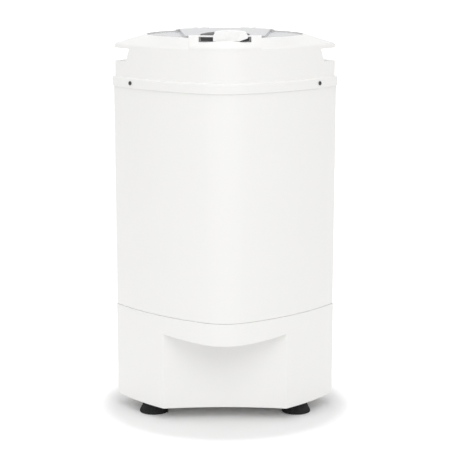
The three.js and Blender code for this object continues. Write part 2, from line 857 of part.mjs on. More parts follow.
// Dark bed under the latch: a low dome, and a flange that hangs before the edge of the lid
function latchBase() {
  const seatZ = panelZ;
  const inner = lidRadius + fitGap;
  const outer = inner + latchFlangeWall;
  const flange = turned([
    [inner - latchFlangeReach, seatZ],
    [inner, seatZ],
    [inner, seatZ - latchFlangeDrop],
    [outer, seatZ - latchFlangeDrop],
    [outer, seatZ + latchFlangeWall],
    [inner - latchFlangeReach, seatZ + latchFlangeWall],
    [inner - latchFlangeReach, seatZ],
  ]);
  const window = block(2 * latchFlangeHalf, lidRadius, crownRise, 0, -outer, seatZ - crownRise / 2);
  const dome = turned(
    [
      [0, seatZ],
      [latchBaseHalf, seatZ],
      [latchBaseHalf, seatZ + latchDomeRise / 4],
      [(latchBaseHalf * 3) / 4, seatZ + (latchDomeRise * 3) / 4],
      [latchBaseHalf / 2, seatZ + latchDomeRise],
      [0, seatZ + latchDomeRise],
    ],
    hubSides,
  );
  return cut(join(moved(dome, 0, latchBaseY), flange.intersect(window)), latchSlot());
}

function lidLatch() {
  const bottomZ = panelZ + latchDomeRise + runningGap;
  const topZ = rimZ + latchTop;
  const half = latchWidth / 2;
  const section = [
    [latchOffset - half, bottomZ],
    [latchOffset + half, bottomZ],
    [latchOffset + half, topZ - latchCrown],
    [latchOffset + half - 2 * latchCrown, topZ - latchCrown / 3],
    [latchOffset + half / 3, topZ],
    [latchOffset - half / 3, topZ],
    [latchOffset - half + 2 * latchCrown, topZ - latchCrown / 3],
    [latchOffset - half, topZ - latchCrown],
  ];
  const plate = beam(section, latchFrontY, latchFrontY + latchDepth);
  const skirtZ = topZ - latchCrown - latchHang;
  const skirt = block(latchWidth, latchSkirt, latchHang, latchOffset, latchFrontY + latchSkirt / 2, skirtZ);
  const footZ = panelZ - lidThickness - runningGap - latchFoot;
  const shankHeight = bottomZ + latchCrown - footZ;
  const shank = block(latchShank, latchShank, shankHeight, latchOffset, latchShankY, footZ);
  const foot = block(latchShank, latchShank + 2 * latchFoot, latchFoot, latchOffset, latchShankY, footZ);
  const thumbY = latchFrontY + thumbDepth - latchDepth / 4;
  const thumb = block(thumbWidth, latchDepth / 2, latchHang, latchOffset + thumbShift, thumbY, topZ - latchHang);
  return cut(join(plate, skirt, shank, foot), thumb);
}

// Tub, with its floor outlet at the front
function outerTub() {
  const inner = tubRadius - tubWall;
  const tub = turned([
    [tubBore, tubZ],
    [tubRadius, tubZ],
    [tubRadius, tubTopZ],
    [inner, tubTopZ],
    [inner, tubZ + tubFloor],
    [tubBore + tubFloor, tubZ + tubFloor],
    [tubBore + tubFloor, tubZ + tubCollar],
    [tubBore, tubZ + tubCollar],
    [tubBore, tubZ],
  ], drumSides);
  const outlet = rod(outletRadius, outletDrop + tubFloor / 2, 0, outletY, tubZ - outletDrop);
  const bore = rod(outletBore, outletDrop + tubFloor + 2 * overrun, 0, outletY, tubZ - outletDrop - overrun);
  return cut(join(tub, outlet), bore);
}

function tubGasket() {
  return ring(tubRadius, tubRadius - gasketWidth, tubTopZ, tubTopZ + gasketHeight, drumSides);
}

// Rubber bellows between the tub's floor and the shaft
function shaftSeal() {
  const outer = tubBore - fitGap;
  const inner = shaftRadius + runningGap;
  const topZ = tubZ + tubCollar - fitGap;
  const middle = (outer + inner) / 2;
  return turned(
    [
      [outer, tubZ],
      [outer, topZ],
      [outer - sealLip, topZ],
      [middle, tubZ + tubCollar / 3],
      [inner + sealLip / 2, topZ],
      [inner, topZ],
      [inner, tubZ + tubCollar / 3],
      [middle, tubZ - tubCollar / 3],
      [outer - sealLip, tubZ],
      [outer, tubZ],
    ],
    hubSides,
  );
}

// Height of the spout's flange, which rests on the roof of the scoop
const spoutSeatZ = roofZ + baseWall;

function drainHose() {
  const inner = outletRadius + fitGap;
  const bottomZ = spoutSeatZ + spoutFlange / 2 + fitGap;
  return moved(ring(inner + hoseWall - fitGap, inner, bottomZ, tubZ - fitGap, smallSides), 0, outletY);
}

function drainSpout() {
  const topZ = tubZ - outletDrop - fitGap;
  const spout = turned(
    [
      [outletBore, roofZ - spoutDrop],
      [outletRadius, roofZ - spoutDrop],
      [outletRadius, spoutSeatZ],
      [outletRadius + spoutFlange, spoutSeatZ],
      [outletRadius + spoutFlange, spoutSeatZ + spoutFlange / 2],
      [outletRadius, spoutSeatZ + spoutFlange / 2],
      [outletRadius, topZ],
      [outletBore, topZ],
      [outletBore, roofZ - spoutDrop],
    ],
    smallSides,
  );
  return moved(spout, 0, outletY);
}

// Basket: a rolled wall, and a pressed floor that rises to a cone over the hub
function spinBasket() {
  return ring(basketRadius, basketRadius - basketWall, basketZ + basketCorner, basketTopZ - rimRingHeight, drumSides);
}

function basketFloor() {
  const t = basketWall;
  const bore = shaftThreadRadius + fitGap;
  const reach = basketRadius - basketWall - fitGap;
  const knee = basketCorner / 3;
  return turned([
    [bore, basketZ + basketConeRise],
    [basketConeTop, basketZ + basketConeRise],
    [basketConeFoot, basketZ],
    [reach - basketCorner, basketZ],
    [reach - knee, basketZ + knee],
    [reach, basketZ + basketCorner],
    [reach, basketZ + basketCorner + basketSeam],
    [reach - t, basketZ + basketCorner + basketSeam],
    [reach - t, basketZ + basketCorner],
    [reach - knee - t, basketZ + knee + t],
    [reach - basketCorner, basketZ + t],
    [basketConeFoot, basketZ + t],
    [basketConeTop, basketZ + basketConeRise + t],
    [bore, basketZ + basketConeRise + t],
    [bore, basketZ + basketConeRise],
  ], drumSides);
}

function basketRim() {
  const bottomZ = basketTopZ - rimRingHeight;
  const outer = basketRadius + rimRingOverhang;
  return turned([
    [outer - rimRingWidth, bottomZ + rimRingHeight / 3],
    [outer - rimRingWidth / 2, bottomZ],
    [outer, bottomZ],
    [outer, basketTopZ - rimRingHeight / 4],
    [outer - rimRingWidth / 4, basketTopZ],
    [outer - rimRingWidth / 2, basketTopZ],
    [outer - rimRingWidth, bottomZ + rimRingHeight / 2],
    [outer - rimRingWidth, bottomZ + rimRingHeight / 3],
  ], drumSides);
}

const hubTopZ = basketZ + basketConeRise;

function basketHub() {
  const bore = shaftRadius + fitGap;
  return turned(
    [
      [bore, hubTopZ - hubLength],
      [hubSleeve, hubTopZ - hubLength],
      [hubSleeve, hubTopZ - hubFlangeThickness],
      [hubFlange, hubTopZ - hubFlangeThickness],
      [hubFlange, hubTopZ],
      [bore, hubTopZ],
      [bore, hubTopZ - hubLength],
    ],
    hubSides,
  );
}

const nutZ = hubTopZ + basketWall;

function hubNut() {
  return cut(
    rod(nutRadius, nutHeight, 0, 0, nutZ, 6),
    rod(shaftThreadRadius + fitGap, nutHeight + 2 * overrun, 0, 0, nutZ - overrun, hubSides),
  );
}

// Smooth cap over the nut, so that no cloth catches on it
function hubCap() {
  const half = capHeight / 2;
  return turned(
    [
      [capRadius, nutZ],
      [capRadius - capWall / 2, nutZ + half],
      [capRadius / 2, nutZ + capHeight],
      [0, nutZ + capHeight + capWall],
      [0, nutZ + capHeight],
      [capRadius / 2 - capWall / 2, nutZ + capHeight - capWall],
      [capRadius - capWall - capWall / 2, nutZ + half - capWall],
      [capRadius - capWall, nutZ],
      [capRadius, nutZ],
    ],
    hubSides,
  );
}

const endCapZ = plateZ - motorLength - endCapHeight;
const lowerBearingZ = endCapZ + endCapWall;
const upperBearingZ = plateTopZ + bearingSeat;

function driveShaft() {
  return turned(
    [
      [0, lowerBearingZ],
      [shaftLowerRadius, lowerBearingZ],
      [shaftLowerRadius, lowerBearingZ + lowerBearingWidth + fitGap],
      [shaftRadius, lowerBearingZ + lowerBearingWidth + fitGap],
      [shaftRadius, hubTopZ],
      [shaftThreadRadius, hubTopZ],
      [shaftThreadRadius, nutZ + nutHeight + threadPast],
      [0, nutZ + nutHeight + threadPast],
    ],
    hubSides,
  );
}

function upperBearing() {
  const bore = shaftRadius + runningGap;
  return ring(upperBearingRadius, bore, upperBearingZ, upperBearingZ + upperBearingWidth, hubSides);
}

function lowerBearing() {
  const bore = shaftLowerRadius + runningGap;
  return ring(lowerBearingRadius, bore, lowerBearingZ, lowerBearingZ + lowerBearingWidth, hubSides);
}

// Motor: finned can, stator, rotor, end cap below and bearing shield on the carrier plate
function motorHousing() {
  const bottomZ = plateZ - motorLength;
  const can = ring(motorRadius, motorRadius - motorWall, bottomZ, plateZ, hubSides);
  const fins = Array.from({ length: finCount }, (_, i) => {
    const fin = new THREE.BoxGeometry(finHeight + motorWall / 2, finWidth, motorLength * finSpanShare);
    fin.translate(motorRadius - motorWall / 2 + (finHeight + motorWall / 2) / 2, 0, bottomZ + motorLength / 2);
    return solid(fin.rotateZ((2 * Math.PI * (i + 1 / 2)) / finCount));
  });
  return join(can, ...fins);
}

function motorStator() {
  const middle = plateZ - motorLength / 2;
  const bottomZ = middle - statorLength / 2;
  return ring(motorRadius - motorWall - fitGap, statorBore, bottomZ, bottomZ + statorLength, hubSides);
}

function motorRotor() {
  const middle = plateZ - motorLength / 2;
  const bottomZ = middle - rotorLength / 2;
  return ring(statorBore - rotorGap, shaftRadius + fitGap, bottomZ, bottomZ + rotorLength, hubSides);
}

function motorEndCap() {
  const seat = lowerBearingRadius + fitGap;
  const topZ = endCapZ + endCapHeight;
  const cap = turned(
    [
      [seat - bearingSeat, endCapZ],
      [motorRadius - endCapHeight / 2, endCapZ],
      [motorRadius, endCapZ + endCapHeight / 2],
      [motorRadius, topZ],
      [motorRadius - motorWall, topZ],
      [motorRadius - motorWall, topZ - endCapWall],
      [seat + endCapWall, endCapZ + endCapWall],
      [seat + endCapWall, lowerBearingZ + lowerBearingWidth],
      [seat, lowerBearingZ + lowerBearingWidth],
      [seat, lowerBearingZ - fitGap],
      [seat - bearingSeat, lowerBearingZ - fitGap],
      [seat - bearingSeat, endCapZ],
    ],
    hubSides,
  );
  return cap;
}

function motorTopShield() {
  const seat = upperBearingRadius + fitGap;
  const lip = seat - bearingSeat;
  const topZ = upperBearingZ + upperBearingWidth;
  return turned(
    [
      [lip, plateTopZ],
      [shieldRadius, plateTopZ],
      [shieldRadius, plateTopZ + shieldFlange],
      [seat + bearingSeat, plateTopZ + shieldFlange],
      [seat + bearingSeat, topZ],
      [seat, topZ],
      [seat, upperBearingZ - fitGap],
      [lip, upperBearingZ - fitGap],
      [lip, plateTopZ],
    ],
    hubSides,
  );
}

function motorPlate() {
  let plate = rod(motorRadius + plateFlange, plateThickness, 0, 0, plateZ, drumSides);
  for (const [x, y] of springPlaces) {
    const arm = new THREE.BoxGeometry(springCircle, armWidth, plateThickness);
    arm.translate(springCircle / 2, 0, plateZ + plateThickness / 2).rotateZ(Math.atan2(y, x));
    plate = join(plate, solid(arm), rod(armEndRadius, plateThickness, x, y, plateZ));
  }
  return cut(plate, rod(shieldRadius - bearingSeat, plateThickness + 2 * overrun, 0, 0, plateZ - overrun));
}

const springSeatZ = floorZ + springBossHeight;
const springTopZ = plateZ - springCupWall;

// Spring wound from its seat to its cup, about its own axis
class Coil extends THREE.Curve {
  getPoint(t) {
    const angle = 2 * Math.PI * springTurns * t;
    const low = springWire / 2 + runningGap;
    const height = low + (springTopZ - springSeatZ - 2 * low) * t;
    return point(springCoilRadius * Math.cos(angle), springCoilRadius * Math.sin(angle), height);
  }
}

const suspensionSpring = () => tube(new Coil(), springWire / 2, springTurns * coilSteps, wireSides);

// Rubber cup under the end of a carrier arm, about its own axis, hanging from the plate
function springCup() {
  const inner = springCoilRadius + springWire / 2 + runningGap;
  const outer = inner + springCupWall;
  return turned(
    [
      [0, 0],
      [outer, 0],
      [outer, -springCupHeight],
      [inner, -springCupHeight],
      [inner, -springCupWall],
      [0, -springCupWall],
    ],
    smallSides,
  );
}

function brakeDrum() {
  const bore = shaftRadius + fitGap;
  return turned(
    [
      [bore, drumZ],
      [drumRadius, drumZ],
      [drumRadius, drumZ + drumHeight],
      [drumRadius - drumRim, drumZ + drumHeight],
      [drumRadius - drumRim, drumZ + drumWeb],
      [drumHub, drumZ + drumWeb],
      [drumHub, drumZ + drumHeight],
      [bore, drumZ + drumHeight],
      [bore, drumZ],
    ],
    drumSides,
  );
}

const leverZ = drumZ + (drumHeight - leverThickness) / 2;
const leverX = -(drumRadius + shoeGap + shoeThickness + leverWidth / 2);

function brakeLever() {
  const length = leverFront + leverBack;
  const bar = block(leverWidth, length, leverThickness, leverX, (leverBack - leverFront) / 2, leverZ);
  const eye = rod(leverWidth, leverThickness, leverX, -leverFront, leverZ);
  const bore = rod(pivotRadius + fitGap, leverThickness + 2 * overrun, leverX, -leverFront, leverZ - overrun);
  return cut(join(bar, eye), bore);
}

// Curved shoe, with a pad that sits flat on the lever
function brakeShoe() {
  const inner = drumRadius + shoeGap;
  const half = radians(shoeSpanDegrees) / 2;
  const shape = new THREE.Shape();
  shape.absarc(0, 0, inner + shoeThickness / 2, Math.PI - half, Math.PI + half, false);
  shape.absarc(0, 0, inner, Math.PI + half, Math.PI - half, true);
  const height = drumHeight - 2 * fitGap;
  const settings = { depth: height, bevelEnabled: false, curveSegments: smallSides / 2 };
  const lining = solid(new THREE.ExtrudeGeometry(shape, settings).translate(0, 0, drumZ + fitGap));
  const padX = -(inner + shoeThickness * (3 / 4 - 1 / 8));
  const pad = block(shoeThickness * (3 / 4), shoeThickness * 2, height, padX, 0, drumZ + fitGap);
  return join(lining, pad);
}

function brakePivot() {
  const height = leverZ + leverThickness - plateTopZ + pivotRadius;
  const pin = rod(pivotRadius, height, leverX, -leverFront, plateTopZ);
  const shoulder = rod(pivotRadius * 2, leverZ - plateTopZ - runningGap, leverX, -leverFront, plateTopZ);
  return join(pin, shoulder);
}

// Brake cable, in its sheath from the lid's hinge down behind the tub to the brake lever
function brakeCable() {
  const behind = tubRadius + cableRadius + cableGap;
  const endZ = leverZ + leverThickness / 2;
  const endY = leverBack + cableEndGap;
  const startZ = recessZ - coverWall;
  const curve = new THREE.CatmullRomCurve3([
    point(-cableX, behind, startZ),
    point(-cableX, behind, (startZ + tubZ) / 2),
    point(-cableX, behind, tubZ + mouthDepth),
    point(-cableX, behind, supportZ - 2 * cableRadius),
    point(-cableX - drumHub / 2, behind - 3 * cableEndGap, (supportZ + endZ) / 2),
    point((leverX - cableX) / 2, (behind + endY) / 2, endZ + cableRadius),
    point(leverX, endY + 4 * cableRadius, endZ),
    point(leverX, endY, endZ),
  ]);
  return tube(curve, cableRadius, cableSteps, cableSides);
}

// The switch hangs behind the collar's front, with its plunger up through the floor of the latch pocket
const plungerY = latchFrontY + latchSkirt / 2;
const switchBoxY = -(rimRadius + coverWall + 2 * fitGap + switchDepth / 2);
const switchTopZ = crownUnderZ(switchX + switchWidth / 2, switchBoxY - switchDepth / 2) - 2 * fitGap;
const plungerTopZ = rimZ + latchTop - latchCrown - latchHang - runningGap;

function lidSwitch() {
  const box = block(switchWidth, switchDepth, switchHeight, switchX, switchBoxY, switchTopZ - switchHeight);
  const lugHeight = crownUnderZ(switchX + switchWidth / 2, plungerY - switchLug / 4) - fitGap - switchTopZ;
  const lugs = [-1, 1].map((sideways) => {
    const x = switchX + (sideways * (switchWidth - switchLug)) / 2;
    return block(switchLug, switchLug / 2, lugHeight, x, plungerY, switchTopZ);
  });
  const boreZ = plungerTopZ - plungerLength - fitGap;
  const bore = rod(plungerRadius + runningGap, 2 * plungerLength, switchX, plungerY, boreZ);
  return cut(join(box, ...lugs), bore);
}

function switchPlunger() {
  return rod(plungerRadius, plungerLength, switchX, plungerY, plungerTopZ - plungerLength);
}

// Lead from the switch down in front of the tub, then round the motor to the terminal block
function switchLead() {
  const front = -(tubRadius + leadRadius + leadGap);
  const overRoofZ = (roofZ + baseWall + supportZ) / 2;
  const endZ = floorZ + terminalHeight + fitGap;
  const curve = new THREE.CatmullRomCurve3([
    point(switchX, switchBoxY, switchTopZ - switchHeight - fitGap),
    point(switchX, front, switchTopZ - 2 * switchHeight),
    point(switchX, front, (switchTopZ + tubZ) / 2),
    point(switchX, front, tubZ + mouthDepth),
    point(switchX, front, supportZ - leadRadius),
    point(2 * switchX, front + 3 * leadRadius, overRoofZ),
    point(springCircle * leadSideShare, -springCircle, overRoofZ),
    point(terminalX, -springCircle / 2, roofZ),
    point(terminalX + leadRadius, -leadRadius, (roofZ + endZ) / 2),
    point(terminalX, 0, endZ + 4 * leadRadius),
    point(terminalX, 0, endZ),
  ]);
  return tube(curve, leadRadius, cableSteps, cableSides);
}

function capacitor() {
  const body = rod(capacitorRadius, capacitorHeight, -capacitorX, 0, floorZ, hubSides);
  const tabZ = floorZ + capacitorHeight - fitGap;
  const tabs = [-1, 1].map((side) =>
    block(clipWall, clipFoot / 2, clipFoot, -capacitorX, (side * capacitorRadius) / 2, tabZ),
  );
  return join(body, ...tabs);
}

function capacitorClip() {
  const inner = capacitorRadius + fitGap;
  const band = moved(ring(inner + clipWall, inner, floorZ, floorZ + clipHeight, hubSides), -capacitorX, 0);
  const feet = [-1, 1].map((side) =>
    block(clipFoot, clipFoot, clipWall, -capacitorX, side * (inner + clipFoot / 2 + clipWall / 2), floorZ),
  );
  return join(band, ...feet);
}

function terminalBlock() {
  const stepZ = floorZ + terminalHeight - terminalStep;
  return join(
    block(terminalWidth, terminalDepth, stepZ - floorZ, terminalX, 0, floorZ),
    block(terminalWidth / 2, terminalDepth - terminalStep, terminalStep, terminalX, 0, stepZ),
  );
}

// Rubber foot about its own axis: a flared cup with a stem that snaps through the base's floor
function foot() {
  const headZ = footHeight + baseFloor + fitGap;
  return turned(
    [
      [0, footHollowDepth],
      [footHollow, footHollowDepth],
      [footHollow + footHollowDepth, 0],
      [footRadius, 0],
      [footRadius, footLip],
      [(footRadius + footNeck) / 2, footShoulder],
      [footNeck, footHeight],
      [footStem, footHeight],
      [footStem, headZ],
      [footHeadRadius, headZ],
      [footStem, headZ + footHeadHeight],
      [0, headZ + footHeadHeight],
    ],
    hubSides,
  );
}

// Things to hand over, grouped as they move
const finish = (color, roughness, metalness) => new THREE.MeshStandardMaterial({ color, roughness, metalness });
const whitePlastic = () => finish(0xf1f0ed, 0.42, 0);
const smokedPlastic = () => finish(0xa6a8ad, 0.18, 0);
const blackPlastic = () => finish(0x17181a, 0.45, 0);
const blackRubber = () => finish(0x141415, 0.8, 0);
const greyRubber = () => finish(0x4a4c4f, 0.8, 0);
const steel = () => finish(0xb9bbbe, 0.35, 1);
const castAluminium = () => finish(0x9a9c9f, 0.5, 1);

const dryer = new THREE.Group();
const carrier = new THREE.Group();
const rotor = new THREE.Group();
const brake = new THREE.Group();
const lid = new THREE.Group();
dryer.add(carrier, lid);
carrier.add(rotor, brake);

function add(group, name, made, material) {
  const mesh = new THREE.Mesh(geometryOf(made), material);
  mesh.name = name;
  group.add(mesh);
  return mesh;
}

add(dryer, "base_housing", baseHousing(), whitePlastic());
add(dryer, "cabinet_shell", cabinetShell(), whitePlastic());
add(dryer, "top_cover", topCover(), whitePlastic());
add(dryer, "front_plate", frontPlate(), whitePlastic());
add(dryer, "hinge_cover", hingeCover(), whitePlastic());
add(dryer, "lid_hinge_pin", lidHingePin(), steel());
add(dryer, "cord_gland", cordGland(), blackPlastic());
add(dryer, "tub_support", tubSupport(), steel());
add(dryer, "outer_tub", outerTub(), whitePlastic());
add(dryer, "tub_gasket", tubGasket(), greyRubber());
add(dryer, "shaft_seal", shaftSeal(), blackRubber());
add(dryer, "drain_hose", drainHose(), greyRubber());
add(dryer, "drain_spout", drainSpout(), blackPlastic());
add(dryer, "brake_cable", brakeCable(), blackPlastic());
add(dryer, "lid_switch", lidSwitch(), blackPlastic());
add(dryer, "switch_plunger", switchPlunger(), blackPlastic());
add(dryer, "switch_lead", switchLead(), blackPlastic());
add(dryer, "capacitor", capacitor(), castAluminium());
add(dryer, "capacitor_clip", capacitorClip(), steel());
add(dryer, "terminal_block", terminalBlock(), blackPlastic());
for (const [corner, [x, y]] of Object.entries(footPlaces))
  add(dryer, "foot_" + corner, foot(), blackRubber()).position.set(x, y, 0);
screwPlaces.forEach((place, i) => add(dryer, "collar_screw_" + (i + 1), collarScrew(place), blackPlastic()));

add(carrier, "motor_plate", motorPlate(), steel());
add(carrier, "motor_housing", motorHousing(), castAluminium());
add(carrier, "motor_end_cap", motorEndCap(), castAluminium());
add(carrier, "motor_top_shield", motorTopShield(), castAluminium());
add(carrier, "motor_stator", motorStator(), steel());
add(carrier, "upper_bearing", upperBearing(), steel());
add(carrier, "lower_bearing", lowerBearing(), steel());
add(carrier, "brake_pivot", brakePivot(), steel());
springPlaces.forEach(([x, y], i) => {
  add(carrier, "spring_cup_" + (i + 1), springCup(), blackRubber()).position.set(x, y, plateZ);
  add(carrier, "suspension_spring_" + (i + 1), suspensionSpring(), steel()).position.set(x, y, springSeatZ);
});

add(rotor, "drive_shaft", driveShaft(), steel());
add(rotor, "motor_rotor", motorRotor(), steel());
add(rotor, "brake_drum", brakeDrum(), castAluminium());
add(rotor, "basket_hub", basketHub(), castAluminium());
add(rotor, "spin_basket", spinBasket(), steel());
add(rotor, "basket_floor", basketFloor(), steel());
add(rotor, "basket_rim", basketRim(), whitePlastic());
add(rotor, "hub_nut", hubNut(), steel());
add(rotor, "hub_cap", hubCap(), whitePlastic());

add(brake, "brake_lever", brakeLever(), steel());
add(brake, "brake_shoe", brakeShoe(), blackRubber());

add(lid, "lid_panel", lidPanel(), smokedPlastic());
add(lid, "lid_hinge_arm", lidHingeArm(), whitePlastic());
add(lid, "latch_base", latchBase(), blackPlastic());
add(lid, "lid_latch", lidLatch(), whitePlastic());

export default dryer;
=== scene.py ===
# Spin dryer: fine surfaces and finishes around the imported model.
# Sizes are in millimetres, as in the model, and a mesh is made in metres. +Z is up, the front faces -Y.
# A name that ends in ROUNDS holds the roundings of a profile's corners, from its first corner on.
import json
import math

import bmesh
import bpy
from mathutils import Matrix, Vector

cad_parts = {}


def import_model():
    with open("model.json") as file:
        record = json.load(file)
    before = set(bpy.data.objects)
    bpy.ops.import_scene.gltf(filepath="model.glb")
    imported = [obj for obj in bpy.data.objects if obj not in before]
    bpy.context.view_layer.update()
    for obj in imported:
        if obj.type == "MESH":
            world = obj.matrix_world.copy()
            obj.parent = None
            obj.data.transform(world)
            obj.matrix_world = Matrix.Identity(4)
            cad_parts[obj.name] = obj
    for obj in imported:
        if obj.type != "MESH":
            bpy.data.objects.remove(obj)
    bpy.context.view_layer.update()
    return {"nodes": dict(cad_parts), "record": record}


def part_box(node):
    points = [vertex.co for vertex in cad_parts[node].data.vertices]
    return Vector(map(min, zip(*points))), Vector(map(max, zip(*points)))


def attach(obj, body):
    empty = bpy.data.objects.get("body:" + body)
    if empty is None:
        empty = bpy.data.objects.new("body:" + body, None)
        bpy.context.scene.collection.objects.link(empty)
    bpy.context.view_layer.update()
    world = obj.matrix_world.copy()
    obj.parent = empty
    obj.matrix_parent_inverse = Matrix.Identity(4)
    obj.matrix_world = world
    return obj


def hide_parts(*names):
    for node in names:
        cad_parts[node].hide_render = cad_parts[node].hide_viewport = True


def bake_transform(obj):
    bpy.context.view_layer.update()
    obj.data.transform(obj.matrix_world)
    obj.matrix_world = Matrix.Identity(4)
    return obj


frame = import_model()
scene = bpy.context.scene
MM = 0.001


def span(node):
    """Lowest and highest corner of a node, in millimetres."""
    low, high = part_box(node)
    return low / MM, high / MM


def middle_of(node):
    """Middle of a node's box, in millimetres."""
    low, high = span(node)
    return (low + high) / 2


# Camera, fitted to the photograph
CAMERA_BACK = 2565
CAMERA_HEIGHT = 776
CAMERA_PITCH = math.radians(10.32)
FOCAL_PIXELS = 1561
PHOTO_PIXELS = 450
SENSOR = 36

# Plan of the body: a nose arc front and back, a long arc on each facet and a tight arc at each side
HALF_WIDTH = 183
HALF_DEPTH = 154
NOSE_RADIUS = 69
FACET_RADIUS = 418
SIDE_RADIUS = 12
DRAFT = math.radians(0.21)
SIDE_STEPS = 8
FACET_STEPS = 24
NOSE_STEPS = 16
NOSE = Vector((0, HALF_DEPTH - NOSE_RADIUS))
SIDE = Vector((HALF_WIDTH - SIDE_RADIUS, 0))

# Heights of the outside, from the frame
BASE_BOTTOM = span("base_housing")[0].z
SEAM = span("cabinet_shell")[0].z
BAND_BOTTOM = span("top_cover")[0].z
RIM = span("top_cover")[1].z
FIT_GAP = 0.3
SLIVER = 0.02
RUN_GAP = 0.4
OVERRUN = 6
JOIN_DEPTH = 1
BAND_HEIGHT = 16
COLLAR_HEIGHT = 54.5
BAND_TOP = BAND_BOTTOM + BAND_HEIGHT
EDGE = BAND_TOP + COLLAR_HEIGHT
RECESS = RIM - 14

# Base
BASE_WALL = 4
BASE_PROUD = 0.8
BASE_ROUND = 1.2
BASE_FLOOR = 4
CAP_INSET = 6
SCOOP_HALF = 101
SCOOP_SAG_BOTTOM = 8
SCOOP_SAG_TOP = 24
SCOOP_EDGE_ROUND = 2.4
SCOOP_STEPS = (-9, -6, -4, -2.8, -2, -1.4, -0.8, -0.3, 0.3, 0.8, 1.4, 2, 2.8, 4, 6, 9)
LIP_HEIGHT = 37
LIP_RISE = 7
LIP_ROUND = 1.6
ROOF = SEAM - LIP_HEIGHT + 10
ROOF_ROUND = 8
VENT_PITCH = 13
VENT_COUNT = 5
VENT_WIDTH = 5
VENT_LENGTH = 46
SPIGOT_HEIGHT = 9
SPIGOT_WALL = 2.5
LEDGE_WIDTH = 6
LEDGE_HEIGHT = 6
SUPPORT_DROP = 8
SPRING_CIRCLE = 88
SPRING_BOSS = (19, 8)
SPRING_NUB = (9, 6)
GLAND_HEIGHT = 48
GLAND_RADIUS = 10

# Shell, band and collar
SHELL_WALL = 2.5
SHELL_TOP = BAND_BOTTOM + 12
PARTING = 0.45
COVER_WALL = 3
BAND_PROUD = 2.3
BAND_ROUND = 3
COLLAR_INSET = 2.5
EDGE_DROP = 3
EDGE_IN = 1.6
EDGE_ROUND = 4
RIM_RADIUS = -span("latch_base")[0].y + FIT_GAP
RIM_WIDTH = 3.6
RIM_ROUND = 1.4
UNDER_WIDER = 10
MOUTH_DEPTH = 28
MOUTH_LEDGE = 23.4
MOUTH_RADIUS = RIM_RADIUS - MOUTH_LEDGE
SHELL_ROUNDS = (0.5, 0.5, 0.5, 0.5)
COVER_ROUNDS = (0.8, BAND_ROUND, 0.6, EDGE_ROUND, EDGE_ROUND, RIM_ROUND, 0.9, 1.5, 2, 1.2, 1.2)

# Side grips
GRIP_TOP = 8.4
GRIP_HEIGHT = 20.6
GRIP_REACH_TOP = 25
GRIP_REACH_BOTTOM = 19

# Plates on the crown
PLATE_RISE = 3
REAR_PLATE_RISE = 1.2
FRONT_PLATE = (57, 52)
REAR_PLATE = (84, 74)
BEAD_WIDTH = 2.6
BEAD_DROP = 1.6
BEAD_ROUNDS = (0.6, 0.6, 1.1, 1.1)

# Lid, latch and hinge
LID_RADIUS = RIM_RADIUS - 1.9
LID_THICKNESS = 3
LID_SKIRT = 2.5
LID_ROUND = 0.9
LID_SKIRT_ROUNDS = (0.5, 0.5, 0, 0)
PANEL_SINK = 0.5
PANEL_LIMIT_SINK = 0.4
PANEL_OVERREACH = 1.1
HAIR = 0.001
LID_Z = RIM - 5
PANEL_Z = RIM + 3
PANEL_FRONT = 60
PANEL_REAR = 81
PANEL_ROUND = 1.8
POCKET_RADIUS = 150
POCKET_HALF = 41
POCKET_DEPTH = 6
LATCH_REACH = 13
LATCH_BASE_HALF = 39
LATCH_BASE_SETBACK = 1
LATCH_DOME = 4
LATCH_DOME_SIDES = 96
LATCH_DOME_ROUNDS = (0, 0.2, 0.8, 30, 30, 0)
# Black flange of the latch bed: a dark strip of painted shade before the lid's edge, where the gap would be
# in shadow
LATCH_SHADE_FLANGE_HALF = 37.5
LATCH_SHADE_FLANGE_WALL = 1.3
LATCH_SHADE_FLANGE_REACH = 8
LATCH_SHADE_FLANGE_DROP = 7.4
LATCH_SHADE_FLANGE_ROUNDS = (0, 0, 0.3, 0.3, 0.9, 0.3)
LATCH_WIDTH = 54
LATCH_X = 8.5
LATCH_TRAVEL = 16
LATCH_DEPTH = 42
LATCH_SHANK = 8
LATCH_FOOT = 3
PLUNGER_RADIUS = 1.7
SHANK_Y = span("lid_latch")[0].y + 26
LATCH_CROWN = 2.6
LATCH_SHOULDER = 0.74
LATCH_CORNER = 4
LATCH_RISE = 5
LATCH_SKIRT = 4
LATCH_HANG = 13.5
LATCH_TRIM = 0.6
LATCH_BOW = 2.2
LATCH_STEPS = 48
LATCH_EDGE = 0.7
LATCH_EDGE_ANGLE = 40
THUMB_RADIUS = 42
THUMB_DEPTH = 1.6
THUMB_SHIFT = 3
HINGE_Y = RIM_RADIUS + 6
HINGE_Z = RIM - 1
HINGE_PIN = 2.5
HINGE_KNUCKLE = 5
HINGE_HALF = 46
HINGE_EAR = 9
HINGE_ARM_WIDTH = 16
HINGE_ARM_SPREAD = 34

# Tub and drain
TUB_RADIUS = span("tub_gasket")[1].x
TUB_TOP = span("tub_gasket")[0].z
TUB_BOTTOM = span("tub_support")[1].z
TUB_WALL = 2
TUB_FLOOR = 3
TUB_BORE = 30
TUB_COLLAR = 9
TUB_ROUNDS = (0.5, 4, 0.5, 0.5, 3, 2, 1, 0.5)
GASKET_WIDTH = 7
GASKET_HEIGHT = 8
GASKET_ROUND = 1.6
SEAL_LIP = 5
SEAL_ROUNDS = (0.5, 1, 1, 2, 0.5, 0.5, 2, 3, 1)
OUTLET_RADIUS = 9
OUTLET_BORE = 7
HOSE_WALL = 2.2
HOSE_ROUND = 0.6
SPOUT_FLANGE = 4
SPOUT_ROUNDS = (0.4, 0.8, 0.5, 0.5, 0.5, 0.5, 0.6, 0.4)

